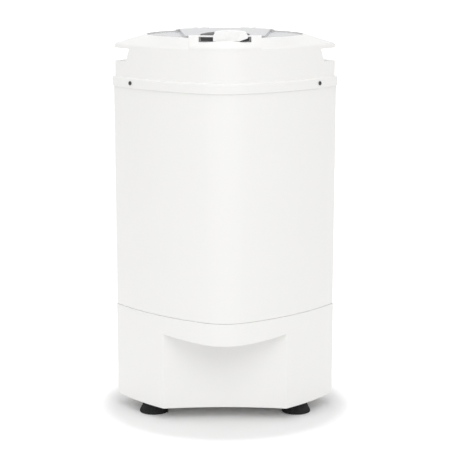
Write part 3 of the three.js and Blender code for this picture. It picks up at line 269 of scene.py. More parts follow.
# Basket and its drive
BASKET_RADIUS = span("spin_basket")[1].x
BASKET_BOTTOM = span("basket_floor")[0].z
BASKET_TOP = span("basket_rim")[1].z
BASKET_WALL = 1.6
BASKET_ROUND = 0.4
BASKET_CORNER = 9
BASKET_SEAM = 8
CONE_FOOT = 60
CONE_TOP = 34
CONE_RISE = 22
BASKET_FLOOR_ROUNDS = (0, 5, 5, 4, 4, 4, 0.4)
HOLE_RADIUS = 2.5
HOLE_COLUMNS = 24
HOLE_ROWS = 12
HOLE_PITCH = 28
HOLE_LOW = 26
HOLE_OVERRUN = 2
HOLE_SIDES = 16
BASKET_SIDES = 192
BALANCE_HEIGHT = 16
BALANCE_WIDTH = 20
BALANCE_ROUNDS = (1.3, 2, 0.8, 3, 3, 5, 1.3)
SHAFT_RADIUS = 9
SHAFT_LOW_RADIUS = 7
SHAFT_LOW_LENGTH = 9
THREAD_RADIUS = 6.5
SHAFT_ROUNDS = (0, 0.8, 0, 0.6, 0.5, 0, 1, 0)
HUB_TOP = BASKET_BOTTOM + CONE_RISE
HUB_NECK = 16
HUB_FLANGE = (28, 6)
HUB_ROUNDS = (0.6, 1, 2, 1, 0.6, 0.6)
NUT_BOTTOM = HUB_TOP + BASKET_WALL
NUT_RADIUS = 12
NUT_HEIGHT = 8
NUT_OVER = 0.2
NUT_CHAMFER = 1
CAP_RADIUS = 33
CAP_HEIGHT = 26
CAP_WALL = 2.5
CAP_ROUNDS = (0.6, 16, 14, 0, 0, 14, 14, 0.6)
DRUM_RADIUS = 42
DRUM_WALL = 4
DRUM_HUB = 14
DRUM_ROUNDS = (0.5, 1.2, 0.8, 0.8, 2, 2, 0.8, 0.5)

# Motor and its sprung carrier
PLATE_BOTTOM = span("motor_plate")[0].z
PLATE_TOP = span("motor_plate")[1].z
MOTOR_RADIUS = 56
MOTOR_WALL = 4.5
MOTOR_LENGTH = 60
MOTOR_ROUND = 0.6
FIN_COUNT = 12
FIN_HEIGHT = 3
FIN_WIDTH = 3
FIN_SHARE = 0.7
END_CAP_HEIGHT = 8
END_CAP_WALL = 3
END_CAP_ROUNDS = (0.4, 3, 3, 0.5, 0.5, 1, 1, 0.6, 0.5, 0, 0.4)
SHIELD_RADIUS = 34
SHIELD_FLANGE = 4
SHIELD_ROUNDS = (0.4, 0.5, 1, 2, 0.6, 0.5, 0, 0.4)
SHIELD_INSET = 0.5
BEARING_ROUNDS = (0.3, 0.2, 0, 0, 0.2, 0.5)
SEAT_WALL = 3
SEAT_LIP = 3
PLATE_RIM = 10
STATOR_BORE = 37
STATOR_LENGTH = 40
ROTOR_GAP = 0.8
ROTOR_LENGTH = 36
ARM_WIDTH = 34
ARM_END = 20
COIL_RADIUS = 13
COIL_WIRE = 1.5
COIL_TURNS = 6
COIL_STEPS = 32
COIL_SIDES = 12
CUP_WALL = 3
CUP_HEIGHT = 9
CUP_ROUNDS = (0, 1, 0.6, 0.8, 1.2, 0)

# Screws, cable, electrical pieces and feet
SCREW_HEAD = (3.3, 1.6)
SCREW_SHANK = (2, 9)
SCREW_CROSS = (4.2, 0.9, 0.8)
SCREW_SINK = 0.2
SCREW_ROUNDS = (0, 0.2, 1, 0)
SCREW_HEAD_SIDES = 48
SCREW_SHANK_SIDES = 24
CABLE_RADIUS = 2.5
CABLE_ASIDE = 15
CABLE_BEND = (7, 9)
CABLE_END_GAP = 3
CABLE_SIDES = 16
CABLE_STEPS = 12
CAPACITOR_RADIUS = 18
CAPACITOR_HEIGHT = 70
CAPACITOR_ROLL = (1.2, 1.6, 1)
CAPACITOR_ROUNDS = (0, 1.5, 0.6, 0.4, 0.4, 0)
TAB_HALF = (1, 2.5)
GLAND_BORE = 4
GLAND_FLANGE = 2.5
GLAND_NUT = 6
GLAND_PLAY = 1
GLAND_ROUND = 0.4
GLAND_FLANGE_ROUND = 0.7
FOOT_HOLLOW = (15, 2.5)
FOOT_RING = (17.5, 23.7)
FOOT_LIP = 3
FOOT_WAIST = (20.1, 10)
FOOT_TOP = 16.5
FOOT_STEM = 6
FOOT_BARB = (8.5, 4)
FOOT_RIB = 0.35
FOOT_RIB_END = 0.1
FOOT_SIDES = 160
FOOT_ROUNDS = (0, 0.8, 0.6, 0.8, 1.5, 12, 0.5, 0, 0, 0.6, 1, 0)

# Meshes
ROUND_STEPS = 4
ROUND_SIDES = 128
MEDIUM_SIDES = 64
SMALL_SIDES = 32
HEXAGON = 6
SMOOTH_ANGLE = 32
EDGE_ANGLE = 50
SMALL_EDGE = 0.35
SMALL_EDGE_ANGLE = 45
LEAST_TURN = 0.01
LEAST_MITRE = 0.2
WELD = 0.00001


def tidy(thing):
    """Merges doubles, drops faces without area and turns every face outwards."""
    mesh = bmesh.new()
    mesh.from_mesh(thing.data)
    bmesh.ops.remove_doubles(mesh, verts=mesh.verts, dist=WELD)
    bmesh.ops.dissolve_degenerate(mesh, edges=mesh.edges, dist=WELD / 2)
    loose = [edge for edge in mesh.edges if not edge.link_faces]
    bmesh.ops.delete(mesh, geom=loose, context="EDGES")
    bmesh.ops.recalc_face_normals(mesh, faces=mesh.faces)
    mesh.to_mesh(thing.data)
    mesh.free()
    return thing


def add(name, data):
    """Puts a mesh, a light or a camera in the scene."""
    thing = bpy.data.objects.new(name, data)
    scene.collection.objects.link(thing)
    return thing


def piece(name, points, faces):
    """A closed mesh through points in millimetres."""
    mesh = bpy.data.meshes.new(name)
    mesh.from_pydata([Vector(p) * MM for p in points], [], faces)
    return tidy(add(name, mesh))


def filleted(corners, radii, closed=True):
    """A line through corners, each rounded to its radius as far as its sides leave room."""
    line = []
    last = len(corners) - 1
    for i, corner in enumerate(corners):
        if not radii[i] or (not closed and i in (0, last)):
            line.append(corner)
            continue
        back = corners[i - 1] - corner
        ahead = corners[(i + 1) % len(corners)] - corner
        room = min(back.length, ahead.length) / 2
        run = 0
        if room > 0:
            run = min(radii[i] / math.tan(max(back.angle(ahead), LEAST_TURN) / 2), room)
        start = corner + back.normalized() * run
        end = corner + ahead.normalized() * run
        for k in range(ROUND_STEPS + 1):
            t = k / ROUND_STEPS
            line.append(start * (1 - t) ** 2 + corner * 2 * t * (1 - t) + end * t**2)
    return line


def skin(name, columns, closed=True):
    """A surface through columns that stand in a ring. An open profile gets a flat cap at each end."""
    count = len(columns[0])
    faces = []
    for i in range(len(columns)):
        j = (i + 1) % len(columns)
        for k in range(count if closed else count - 1):
            m = (k + 1) % count
            faces.append((i * count + k, i * count + m, j * count + m, j * count + k))
    if not closed:
        faces.append([i * count for i in range(len(columns))])
        faces.append([i * count + count - 1 for i in range(len(columns))])
    return piece(name, [p for column in columns for p in column], faces)


def turned(name, profile, sides=ROUND_SIDES, x=0, y=0, radii=None, wave=None):
    """A turned piece: its profile is a closed list of (radius, height), with a rounding for each corner."""
    corners = [Vector((r, 0, z)) for r, z in profile]
    line = filleted(corners, radii) if radii else corners
    columns = []
    for i in range(sides):
        angle = 2 * math.pi * i / sides
        reach = [(wave(i, p.x) if wave else p.x, p.z) for p in line]
        columns.append([Vector((x + r * math.cos(angle), y + r * math.sin(angle), z)) for r, z in reach])
    return skin(name, columns)


def stepped(*sizes):
    """Corners of a square-edged profile, from its radii and heights by turns."""
    radii, heights = sizes[::2], sizes[1::2]
    corners = []
    for i, height in enumerate(heights):
        corners += [(radii[i], height), (radii[(i + 1) % len(radii)], height)]
    return corners


def circle(radius, sides=2 * ROUND_SIDES):
    """Corners of a circle round the origin."""
    turns = [2 * math.pi * i / sides for i in range(sides)]
    return [(radius * math.cos(turn), radius * math.sin(turn)) for turn in turns]


def ring(name, outer, inner, bottom, top, edge, x=0, y=0, sides=ROUND_SIDES):
    """An upright ring with rounded edges."""
    return turned(name, stepped(inner, bottom, outer, top), sides, x, y, [edge] * 4)


def rod(name, radius, bottom, top, x=0, y=0, sides=SMALL_SIDES):
    """An upright round bar."""
    return prism(name, [(x + u, y + v) for u, v in circle(radius, sides)], bottom, top)


def prism(name, outline, bottom, top, rounding=0):
    """An upright prism of an outline, with its top edge rounded over where asked."""
    columns = []
    for i, (x, y) in enumerate(outline):
        corners = [Vector((x, y, bottom)), Vector((x, y, top))]
        if rounding:
            inner = inset_point(outline, i, 2 * rounding)
            corners.append(Vector((inner[0], inner[1], top)))
            corners = filleted(corners, [0, rounding, 0], closed=False)
        columns.append(corners)
    return skin(name, columns, closed=False)


def inset_point(outline, i, distance):
    """The corner of an outline moved inwards by a distance from both of its sides."""
    here = Vector(outline[i])
    back = (here - Vector(outline[i - 1])).normalized()
    ahead = (Vector(outline[(i + 1) % len(outline)]) - here).normalized()
    area = sum(p[0] * q[1] - q[0] * p[1] for p, q in zip(outline, outline[1:] + outline[:1]))
    side = 1 if area > 0 else -1
    normal = Vector((-back.y - ahead.y, back.x + ahead.x)) * side
    normal.normalize()
    across = Vector((-back.y, back.x)) * side
    return here + normal * distance / max(normal.dot(across), LEAST_MITRE)


def block(name, low, high):
    """A block between two corners."""
    outline = [(low[0], low[1]), (high[0], low[1]), (high[0], high[1]), (low[0], high[1])]
    return prism(name, outline, low[2], high[2])


def bar(name, start, end, radius, sides=SMALL_SIDES):
    """A round bar between two points."""
    axis = (end - start).normalized()
    across = axis.orthogonal().normalized()
    other = axis.cross(across)
    columns = []
    for i in range(sides):
        angle = 2 * math.pi * i / sides
        offset = (across * math.cos(angle) + other * math.sin(angle)) * radius
        columns.append([start + offset, end + offset])
    return skin(name, columns, closed=False)


def ball(name, radius, centre):
    """A ball, turned round the upright axis through its centre."""
    sides = 2 * ROUND_SIDES
    turns = [math.pi * i / sides - math.pi / 2 for i in range(sides + 1)]
    profile = [(radius * max(math.cos(t), 0), centre.z + radius * math.sin(t)) for t in turns]
    return turned(name, profile, sides, centre.x, centre.y)


def bake(thing):
    """Turns a piece's modifiers into its mesh."""
    bpy.context.view_layer.update()
    graph = bpy.context.evaluated_depsgraph_get()
    mesh = bpy.data.meshes.new_from_object(thing.evaluated_get(graph))
    thing.modifiers.clear()
    thing.data = mesh
    return thing


def combine(thing, operation, tools):
    """Joins, cuts or meets a piece with tools, which are used up."""
    for tool in tools:
        change = thing.modifiers.new("combine", "BOOLEAN")
        change.operation = operation
        change.solver = "MANIFOLD"
        change.object = tool
        bake(thing)
        bpy.data.objects.remove(tool)
    return thing


def join(thing, *tools):
    return combine(thing, "UNION", tools)


def cut(thing, *tools):
    return combine(thing, "DIFFERENCE", tools)


def meet(thing, *tools):
    return combine(thing, "INTERSECT", tools)


def bore(thing, radius, low, high, x=0, y=0, sides=SMALL_SIDES):
    """Bores an upright hole right through, between two heights."""
    return cut(thing, rod("bore", radius, low - OVERRUN, high + OVERRUN, x, y, sides))


def move(thing, place):
    """Moves the mesh of a piece by a distance in millimetres."""
    thing.data.transform(Matrix.Translation(Vector(place) * MM))
    return thing


def round_edges(thing, width, angle=EDGE_ANGLE, segments=3):
    """Rounds the edges that turn by more than an angle."""
    change = thing.modifiers.new("edges", "BEVEL")
    change.width = width * MM
    change.segments = segments
    change.limit_method = "ANGLE"
    change.angle_limit = math.radians(angle)
    return bake(thing)


def smooth(thing):
    """Shades rounded stretches as smooth, and keeps flat faces flat."""
    thing.data.shade_smooth()
    thing.data.set_sharp_from_angle(angle=math.radians(SMOOTH_ANGLE))
    change = thing.modifiers.new("normals", "WEIGHTED_NORMAL")
    change.keep_sharp = True
    return bake(thing)


# Patterns
def add_node(tree, kind, inputs=None, **settings):
    """Adds a node with its settings and inputs, and returns its outputs."""
    node = tree.nodes.new(kind)
    for name, value in settings.items():
        setattr(node, name, value)
    return feed(tree, node, inputs or {})


def feed(tree, node, inputs):
    """Gives each input a plain value, or a link from another node's output."""
    for name, value in inputs.items():
        if isinstance(value, bpy.types.NodeSocket):
            tree.links.new(value, node.inputs[name])
        else:
            node.inputs[name].default_value = value
    return node.outputs


def start_tree(name, sizes):
    """A tree with a mesh in and out and a named input for each of its sizes."""
    tree = bpy.data.node_groups.new(name, "GeometryNodeTree")
    tree.is_modifier = True
    tree.interface.new_socket("Geometry", in_out="INPUT", socket_type="NodeSocketGeometry")
    tree.interface.new_socket("Geometry", in_out="OUTPUT", socket_type="NodeSocketGeometry")
    for label, kind in sizes.items():
        tree.interface.new_socket(label, in_out="INPUT", socket_type="NodeSocket" + kind)
    tree.interface.new_socket("Finish", in_out="INPUT", socket_type="NodeSocketMaterial")
    return tree, tree.nodes.new("NodeGroupInput").outputs


def end_tree(tree, geometry, finish):
    """Ends a tree in plain meshes with their finish."""
    real = add_node(tree, "GeometryNodeRealizeInstances", {"Geometry": geometry})["Geometry"]
    coat = add_node(tree, "GeometryNodeSetMaterial", {"Geometry": real, "Material": finish})["Geometry"]
    add_node(tree, "NodeGroupOutput", {"Geometry": coat})
    return tree


def run_tree(thing, tree, values):
    """Runs a tree on a piece and keeps what it gives as the piece's plain mesh."""
    change = thing.modifiers.new(tree.name, "NODES")
    change.node_group = tree
    for socket in tree.interface.items_tree:
        if socket.name in values:
            change[socket.identifier] = values[socket.name]
    return bake(thing)


def spread_tree():
    """Copies a piece in columns round the upright axis and in rows along a step, every other row turned."""
    sizes = {"Columns": "Int", "Rows": "Int", "Turn": "Float", "Row Step": "Vector"}
    tree, given = start_tree("spread", sizes)

    def math_of(operation, first, second=0.0):
        return add_node(tree, "ShaderNodeMath", {0: first, 1: second}, operation=operation)[0]

    index = add_node(tree, "GeometryNodeInputIndex")["Index"]
    row = math_of("FLOOR", math_of("DIVIDE", index, given["Columns"]))
    shift = math_of("MULTIPLY", math_of("MODULO", row, 2.0), given["Turn"])
    column = math_of("ADD", math_of("MODULO", index, given["Columns"]), shift)
    angle = math_of("MULTIPLY", math_of("DIVIDE", column, given["Columns"]), 2 * math.pi)
    step = {"Vector": given["Row Step"], "Scale": row}
    offset = add_node(tree, "ShaderNodeVectorMath", step, operation="SCALE")["Vector"]
    count = math_of("MULTIPLY", given["Columns"], given["Rows"])
    points = add_node(tree, "GeometryNodePoints", {"Count": count, "Position": offset})[0]
    turn = add_node(tree, "ShaderNodeCombineXYZ", {"Z": angle})["Vector"]
    copy = {"Points": points, "Instance": given["Geometry"], "Rotation": turn}
    copies = add_node(tree, "GeometryNodeInstanceOnPoints", copy)["Instances"]
    return end_tree(tree, copies, given["Finish"])


def tube_between(tree, given, line):
    """Draws a round section along a line, with its ends closed."""
    size = {"Resolution": given["Sides"], "Radius": given["Radius"]}
    section = add_node(tree, "GeometryNodeCurvePrimitiveCircle", size)["Curve"]
    sweep = {"Fill Caps": True, "Curve": line, "Profile Curve": section}
    return end_tree(tree, add_node(tree, "GeometryNodeCurveToMesh", sweep)["Mesh"], given["Finish"])


def tube_tree():
    """A round tube along a line of edges."""
    tree, given = start_tree("tube", {"Sides": "Int", "Radius": "Float"})
    line = add_node(tree, "GeometryNodeMeshToCurve", {"Mesh": given["Geometry"]})["Curve"]
    return tube_between(tree, given, line)


def coil_tree():
    """A spring wound from round wire."""
    sizes = {"Sides": "Int", "Radius": "Float", "Turns": "Float", "Coil Radius": "Float", "Height": "Float"}
    tree, given = start_tree("coil", sizes)
    wind = {"Resolution": COIL_STEPS, "Rotations": given["Turns"], "Height": given["Height"]}
    wind |= {end: given["Coil Radius"] for end in ("Start Radius", "End Radius")}
    return tube_between(tree, given, add_node(tree, "GeometryNodeCurveSpiral", wind)["Curve"])


SPREAD = spread_tree()
TUBE = tube_tree()
COIL = coil_tree()


def spread(thing, columns=1, rows=1, step=(0, 0, 0), turn=0.5):
    """Repeats a piece round the upright axis and along a step in millimetres."""
    row_step = [size * MM for size in step]
    return run_tree(thing, SPREAD, {"Columns": columns, "Rows": rows, "Turn": turn, "Row Step": row_step})


def smooth_line(points):
    """A smooth line through points, with its speed evened out by the root of their distances."""
    points = [Vector(p) for p in points]
    points = [2 * points[0] - points[1], *points, 2 * points[-1] - points[-2]]
    line = []
    for before, start, end, after in zip(points, points[1:], points[2:], points[3:]):
        gaps = [math.sqrt((b - a).length) for a, b in ((before, start), (start, end), (end, after))]
        leave = (start - before) / gaps[0] - (end - before) / (gaps[0] + gaps[1]) + (end - start) / gaps[1]
        reach = (end - start) / gaps[1] - (after - start) / (gaps[1] + gaps[2]) + (after - end) / gaps[2]
        leave *= gaps[1]
        reach *= gaps[1]
        for i in range(CABLE_STEPS):
            t = i / CABLE_STEPS
            rise = 3 * (end - start) - 2 * leave - reach
            line.append(start + leave * t + rise * t**2 + (2 * (start - end) + leave + reach) * t**3)
    return line + [points[-2]]


def tube(name, points, radius, finish):
    """A cable in its sheath along a smooth line through points."""
    line = [p * MM for p in smooth_line(points)]
    mesh = bpy.data.meshes.new(name)
    mesh.from_pydata(line, [(i, i + 1) for i in range(len(line) - 1)], [])
    values = {"Sides": CABLE_SIDES, "Radius": radius * MM, "Finish": finish}
    return run_tree(add(name, mesh), TUBE, values)


# Plan of the body, as columns of (x, y, outward x, outward y)
def facet_centre():
    """Centre of the long arc, which runs tangent into the nose arc and the side arc."""
    apart = (SIDE - NOSE).length
    to_nose = FACET_RADIUS - NOSE_RADIUS
    to_side = FACET_RADIUS - SIDE_RADIUS
    along = (to_nose**2 - to_side**2 + apart**2) / (2 * apart)
    away = math.sqrt(to_nose**2 - along**2)
    unit = (SIDE - NOSE) / apart
    return NOSE + unit * along + Vector((unit.y, -unit.x)) * away


FACET = facet_centre()


def quarter_plan(extra=()):
    """Columns from the side to the back nose, with more where the facet passes the extra x places."""
    side_end = math.atan2(SIDE.y - FACET.y, SIDE.x - FACET.x)
    facet_end = math.atan2(NOSE.y - FACET.y, NOSE.x - FACET.x)
    columns = []

    def arc(centre, radius, angles):
        for angle in angles:
            unit = Vector((math.cos(angle), math.sin(angle)))
            spot = centre + unit * radius
            columns.append((spot.x, spot.y, unit.x, unit.y))

    def between(start, end, steps):
        return [start + (end - start) * i / steps for i in range(steps)]

    more = [math.acos((x - FACET.x) / FACET_RADIUS) for x in extra]
    arc(SIDE, SIDE_RADIUS, between(0, side_end, SIDE_STEPS))
    arc(FACET, FACET_RADIUS, sorted(between(side_end, facet_end, FACET_STEPS) + more))
    arc(NOSE, NOSE_RADIUS, between(facet_end, math.pi / 2, NOSE_STEPS))
    columns.append((0, HALF_DEPTH, 0, 1))
    return columns


def whole_plan(extra=()):
    """Columns all round the body, mirrored from one quarter."""
    quarter = quarter_plan(extra)
    back = quarter[:-1][::-1]
    return (
        quarter
        + [(-x, y, -u, v) for x, y, u, v in back]
        + [(-x, -y, -u, -v) for x, y, u, v in quarter[1:]]
        + [(x, -y, u, -v) for x, y, u, v in back[:-1]]
    )


PLAN = whole_plan()


def draft_at(z):
    """Share of the plan's full size at a height."""
    return 1 - max(BAND_BOTTOM - z, 0) * math.tan(DRAFT) / HALF_WIDTH


def on_plan(column, inset, z):
    """The point of a column at a height, moved inwards by a distance."""
    x, y, u, v = column
    scale = draft_at(z)
    return Vector(((x - u * inset) * scale, (y - v * inset) * scale, z))


def on_circle(column, radius, z):
    """The point of a circle that lies in a column's direction."""
    spot = Vector(column[:2]).normalized() * radius
    return Vector((spot.x, spot.y, z))


def plan_depth(x, inset, z):
    """Depth of the facet in front of the middle, at a sideways distance."""
    scale = draft_at(z)
    return scale * (FACET.y + math.sqrt((FACET_RADIUS - inset) ** 2 - (abs(x) / scale - FACET.x) ** 2))


def soft_min(first, second, width):
    """The smaller of two depths, with their crossing rounded over a width."""
    near = max(width - abs(first - second), 0) / width
    return min(first, second) - near * near * width / 4


def body_skin(name, rows, radii=None, closed=True):
    """A skin round the plan. A row says how its corner is placed, how far in or out, and how high."""
    columns = [[place(c, distance, z) for place, distance, z in rows] for c in PLAN]
    if radii:
        columns = [filleted(corners, radii, closed) for corners in columns]
    return skin(name, columns, closed)


SCOOP_EDGE = plan_depth(SCOOP_HALF, -BASE_PROUD, ROOF)
SCOOP_LOW = BASE_BOTTOM - OVERRUN


def scoop_gap(column, z):
    """How far the scoop goes in behind the base's wall, along the depth."""
    wall = on_plan(column, -BASE_PROUD, z)
    if wall.y > 0:
        return 0
    bow = 1 - min(abs(wall.x) / SCOOP_HALF, 1) ** 2
    share = (z - SCOOP_LOW) / (ROOF - SCOOP_LOW)
    sag = SCOOP_SAG_BOTTOM + (SCOOP_SAG_TOP - SCOOP_SAG_BOTTOM) * share
    return -wall.y - soft_min(-wall.y, SCOOP_EDGE - sag * bow, SCOOP_EDGE_ROUND)


def scoop_inward(column):
    """Level direction into the base: along the depth at the scoop, square to the wall elsewhere."""
    x, y, u, v = column
    near = min(max((SCOOP_HALF + 5 * SCOOP_EDGE_ROUND - abs(x)) / (4 * SCOOP_EDGE_ROUND), 0), 1)
    near = near if y < 0 else 0
    return (Vector((-u, -v, 0)) * (1 - near) + Vector((0, 1, 0)) * near).normalized()


def lip_height(column):
    bow = 1 - min(abs(column[0]) / SCOOP_HALF, 1) ** 2
    return SEAM - LIP_HEIGHT + LIP_RISE * (1 - bow)


def base_column(column):
    """Outside of the base: down the wall, round the lip, under the roof and down the back of the scoop."""
    inward = scoop_inward(column)
    lip = lip_height(column)
    top_gap = scoop_gap(column, ROOF)
    low_gap = scoop_gap(column, BASE_BOTTOM)
    thickness = min(BASE_WALL, top_gap / 2)
    roof = lip + (ROOF - lip) * min(1, top_gap / (3 * BASE_WALL))

    def wall(z):
        return on_plan(column, -BASE_PROUD, z)

    corners = [
        wall(SEAM) + inward * CAP_INSET,
        wall(SEAM),
        wall(lip),
        wall(lip) + inward * thickness,
        wall(roof) + inward * thickness,
        wall(roof) + inward * top_gap,
        wall(BASE_BOTTOM) + inward * low_gap,
        wall(BASE_BOTTOM) + inward * (low_gap + CAP_INSET),
    ]
    radii = [0, BASE_ROUND, LIP_ROUND, LIP_ROUND, LIP_ROUND, ROOF_ROUND, BASE_ROUND, 0]
    return filleted(corners, radii, closed=False)


def base_room_column(column):
    """Inside of the base, a wall behind its outside."""
    inward = scoop_inward(column)
    roof = ROOF + BASE_WALL
    top_gap = scoop_gap(column, ROOF)
    low_gap = scoop_gap(column, BASE_BOTTOM)
    step = BASE_WALL if top_gap > BASE_WALL else 0

    def wall(z):
        return on_plan(column, BASE_WALL - BASE_PROUD, z)

    return [
        wall(SEAM + OVERRUN),
        wall(roof),
        wall(roof) + inward * (top_gap + step / 4),
        wall(BASE_BOTTOM + BASE_FLOOR) + inward * (low_gap + step / 4),
    ]


def spring_places():
    """Places of the three springs, evenly round the upright axis."""
    for i in range(3):
        angle = math.pi / 2 + 2 * math.pi * i / 3
        yield SPRING_CIRCLE * math.cos(angle), SPRING_CIRCLE * math.sin(angle)


FOOT_PLACES = {
    corner: middle_of("foot_" + corner)
    for corner in ("front_left", "front_right", "rear_left", "rear_right")
}
OUTLET = middle_of("drain_hose")


def base_housing():
    """Moulded base with its scooped front, the spigot that the shell slips over and the spring seats."""
    columns = whole_plan([SCOOP_HALF + step for step in SCOOP_STEPS])
    floor = BASE_BOTTOM + BASE_FLOOR
    base = skin("base_housing_fine", [base_column(c) for c in columns], closed=False)
    cut(base, skin("room", [base_room_column(c) for c in columns], closed=False))
    out = SHELL_WALL + FIT_GAP
    support = SEAM - SUPPORT_DROP
    profile = [
        (out, support - LEDGE_HEIGHT),
        (out, SEAM + SPIGOT_HEIGHT),
        (out + SPIGOT_WALL, SEAM + SPIGOT_HEIGHT),
        (out + SPIGOT_WALL, support),
        (out + SPIGOT_WALL + LEDGE_WIDTH, support),
        (out + SPIGOT_WALL + LEDGE_WIDTH, support - LEDGE_HEIGHT),
    ]
    join(base, skin("spigot", [[on_plan(c, inset, z) for inset, z in profile] for c in PLAN]))
    for x, y in spring_places():
        radius, height = SPRING_BOSS
        join(base, rod("boss", radius, floor - BASE_FLOOR / 2, floor + height, x, y))
        nub_radius, nub_height = SPRING_NUB
        nub_low = floor + height - FIT_GAP
        join(base, rod("nub", nub_radius, nub_low, nub_low + nub_height, x, y))
    for place in FOOT_PLACES.values():
        bore(base, FOOT_STEM + FIT_GAP, BASE_BOTTOM, floor, place.x, place.y)
    first = -VENT_PITCH * (VENT_COUNT - 1) / 2
    low = (first - VENT_WIDTH / 2, -VENT_LENGTH / 2, BASE_BOTTOM - OVERRUN)
    vent = block("vents", low, (first + VENT_WIDTH / 2, VENT_LENGTH / 2, floor + OVERRUN))
    cut(base, spread(vent, rows=VENT_COUNT, step=(VENT_PITCH, 0, 0)))
    bore(base, OUTLET_RADIUS + FIT_GAP, ROOF, ROOF + BASE_WALL, OUTLET.x, OUTLET.y)
    start = Vector((0, 0, BASE_BOTTOM + GLAND_HEIGHT))
    end = start + Vector((0, 2 * HALF_DEPTH, 0))
    return cut(base, bar("gland_hole", start, end, GLAND_RADIUS + FIT_GAP))


def cabinet_shell():
    """Tapered body shell. Its foot stands just clear of the base, which shows as a fine line."""
    low = SEAM + PARTING
    section = [(0, low), (0, SHELL_TOP), (SHELL_WALL, SHELL_TOP), (SHELL_WALL, low)]
    return body_skin("cabinet_shell_fine", [(on_plan, *corner) for corner in section], SHELL_ROUNDS)


def crown_solid(name, lift):
    """The collar and crown as a filled body, lifted by a height."""
    rows = [
        (on_plan, COLLAR_INSET, BAND_TOP + lift),
        (on_plan, COLLAR_INSET, EDGE - EDGE_DROP + lift),
        (on_plan, COLLAR_INSET + EDGE_IN, EDGE + lift),
        (on_circle, RIM_RADIUS + RIM_WIDTH, RIM + lift),
        (on_circle, RIM_RADIUS - RIM_WIDTH, RIM + lift),
    ]
    return body_skin(name, rows, [0, EDGE_ROUND, EDGE_ROUND, RIM_ROUND, 0], closed=False)


def crown_under(lift):
    """The body that a plate on the crown rests on, drawn wider than the collar."""
    wide = COLLAR_INSET - UNDER_WIDER
    rows = [
        (on_plan, wide, BAND_BOTTOM),
        (on_plan, wide, EDGE - EDGE_DROP + lift - UNDER_WIDER * EDGE_DROP / EDGE_IN),
        (on_plan, COLLAR_INSET + EDGE_IN, EDGE + lift),
        (on_circle, RIM_RADIUS + RIM_WIDTH, RIM + lift),
    ]
    return body_skin("crown_under", rows, closed=False)


def grip_tool(sideways, grow, top):
    """Space of one side grip, with its inner wall leaning back."""
    reach = HALF_WIDTH - COLLAR_INSET
    bottom = EDGE - GRIP_TOP - GRIP_HEIGHT - grow
    outer = HALF_WIDTH + OVERRUN
    low = reach - GRIP_REACH_BOTTOM - grow
    high = reach - GRIP_REACH_TOP - grow
    section = [(low, bottom), (outer, bottom), (outer, top), (high, top)]
    columns = [[Vector((sideways * x, back * HALF_DEPTH, z)) for back in (-1, 1)] for x, z in section]
    return skin("grip", columns, closed=False)


def pocket_tool(grow, bottom):
    """Pocket in the rim that leaves room for the latch, with a bowed front."""
    centre = POCKET_RADIUS - RIM_RADIUS - LATCH_REACH
    top = RIM + COLLAR_HEIGHT
    bow = rod("pocket", POCKET_RADIUS + grow, bottom, top, 0, centre, 2 * ROUND_SIDES)
    half = POCKET_HALF + grow
    reach = LATCH_REACH + OVERRUN
    low = (-half, -RIM_RADIUS - reach, bottom - OVERRUN)
    return meet(bow, block("window", low, (half, -RIM_RADIUS + reach, top + OVERRUN)))


def hinge_bar(name, radius, low, high):
    return bar(name, Vector((low, HINGE_Y, HINGE_Z)), Vector((high, HINGE_Y, HINGE_Z)), radius)


def hinge_room():
    """Room for the turning knuckles and the pin."""
    reach = HINGE_KNUCKLE + RUN_GAP
    half = HINGE_HALF + FIT_GAP
    front = RIM_RADIUS - 2 * OVERRUN
    slot = block("slot", (-half, front, HINGE_Z - reach), (half, HINGE_Y + reach, RIM + COLLAR_HEIGHT))
    outer = HINGE_HALF + HINGE_EAR
    return join(slot, hinge_bar("pin_hole", HINGE_PIN + FIT_GAP, -outer, outer))


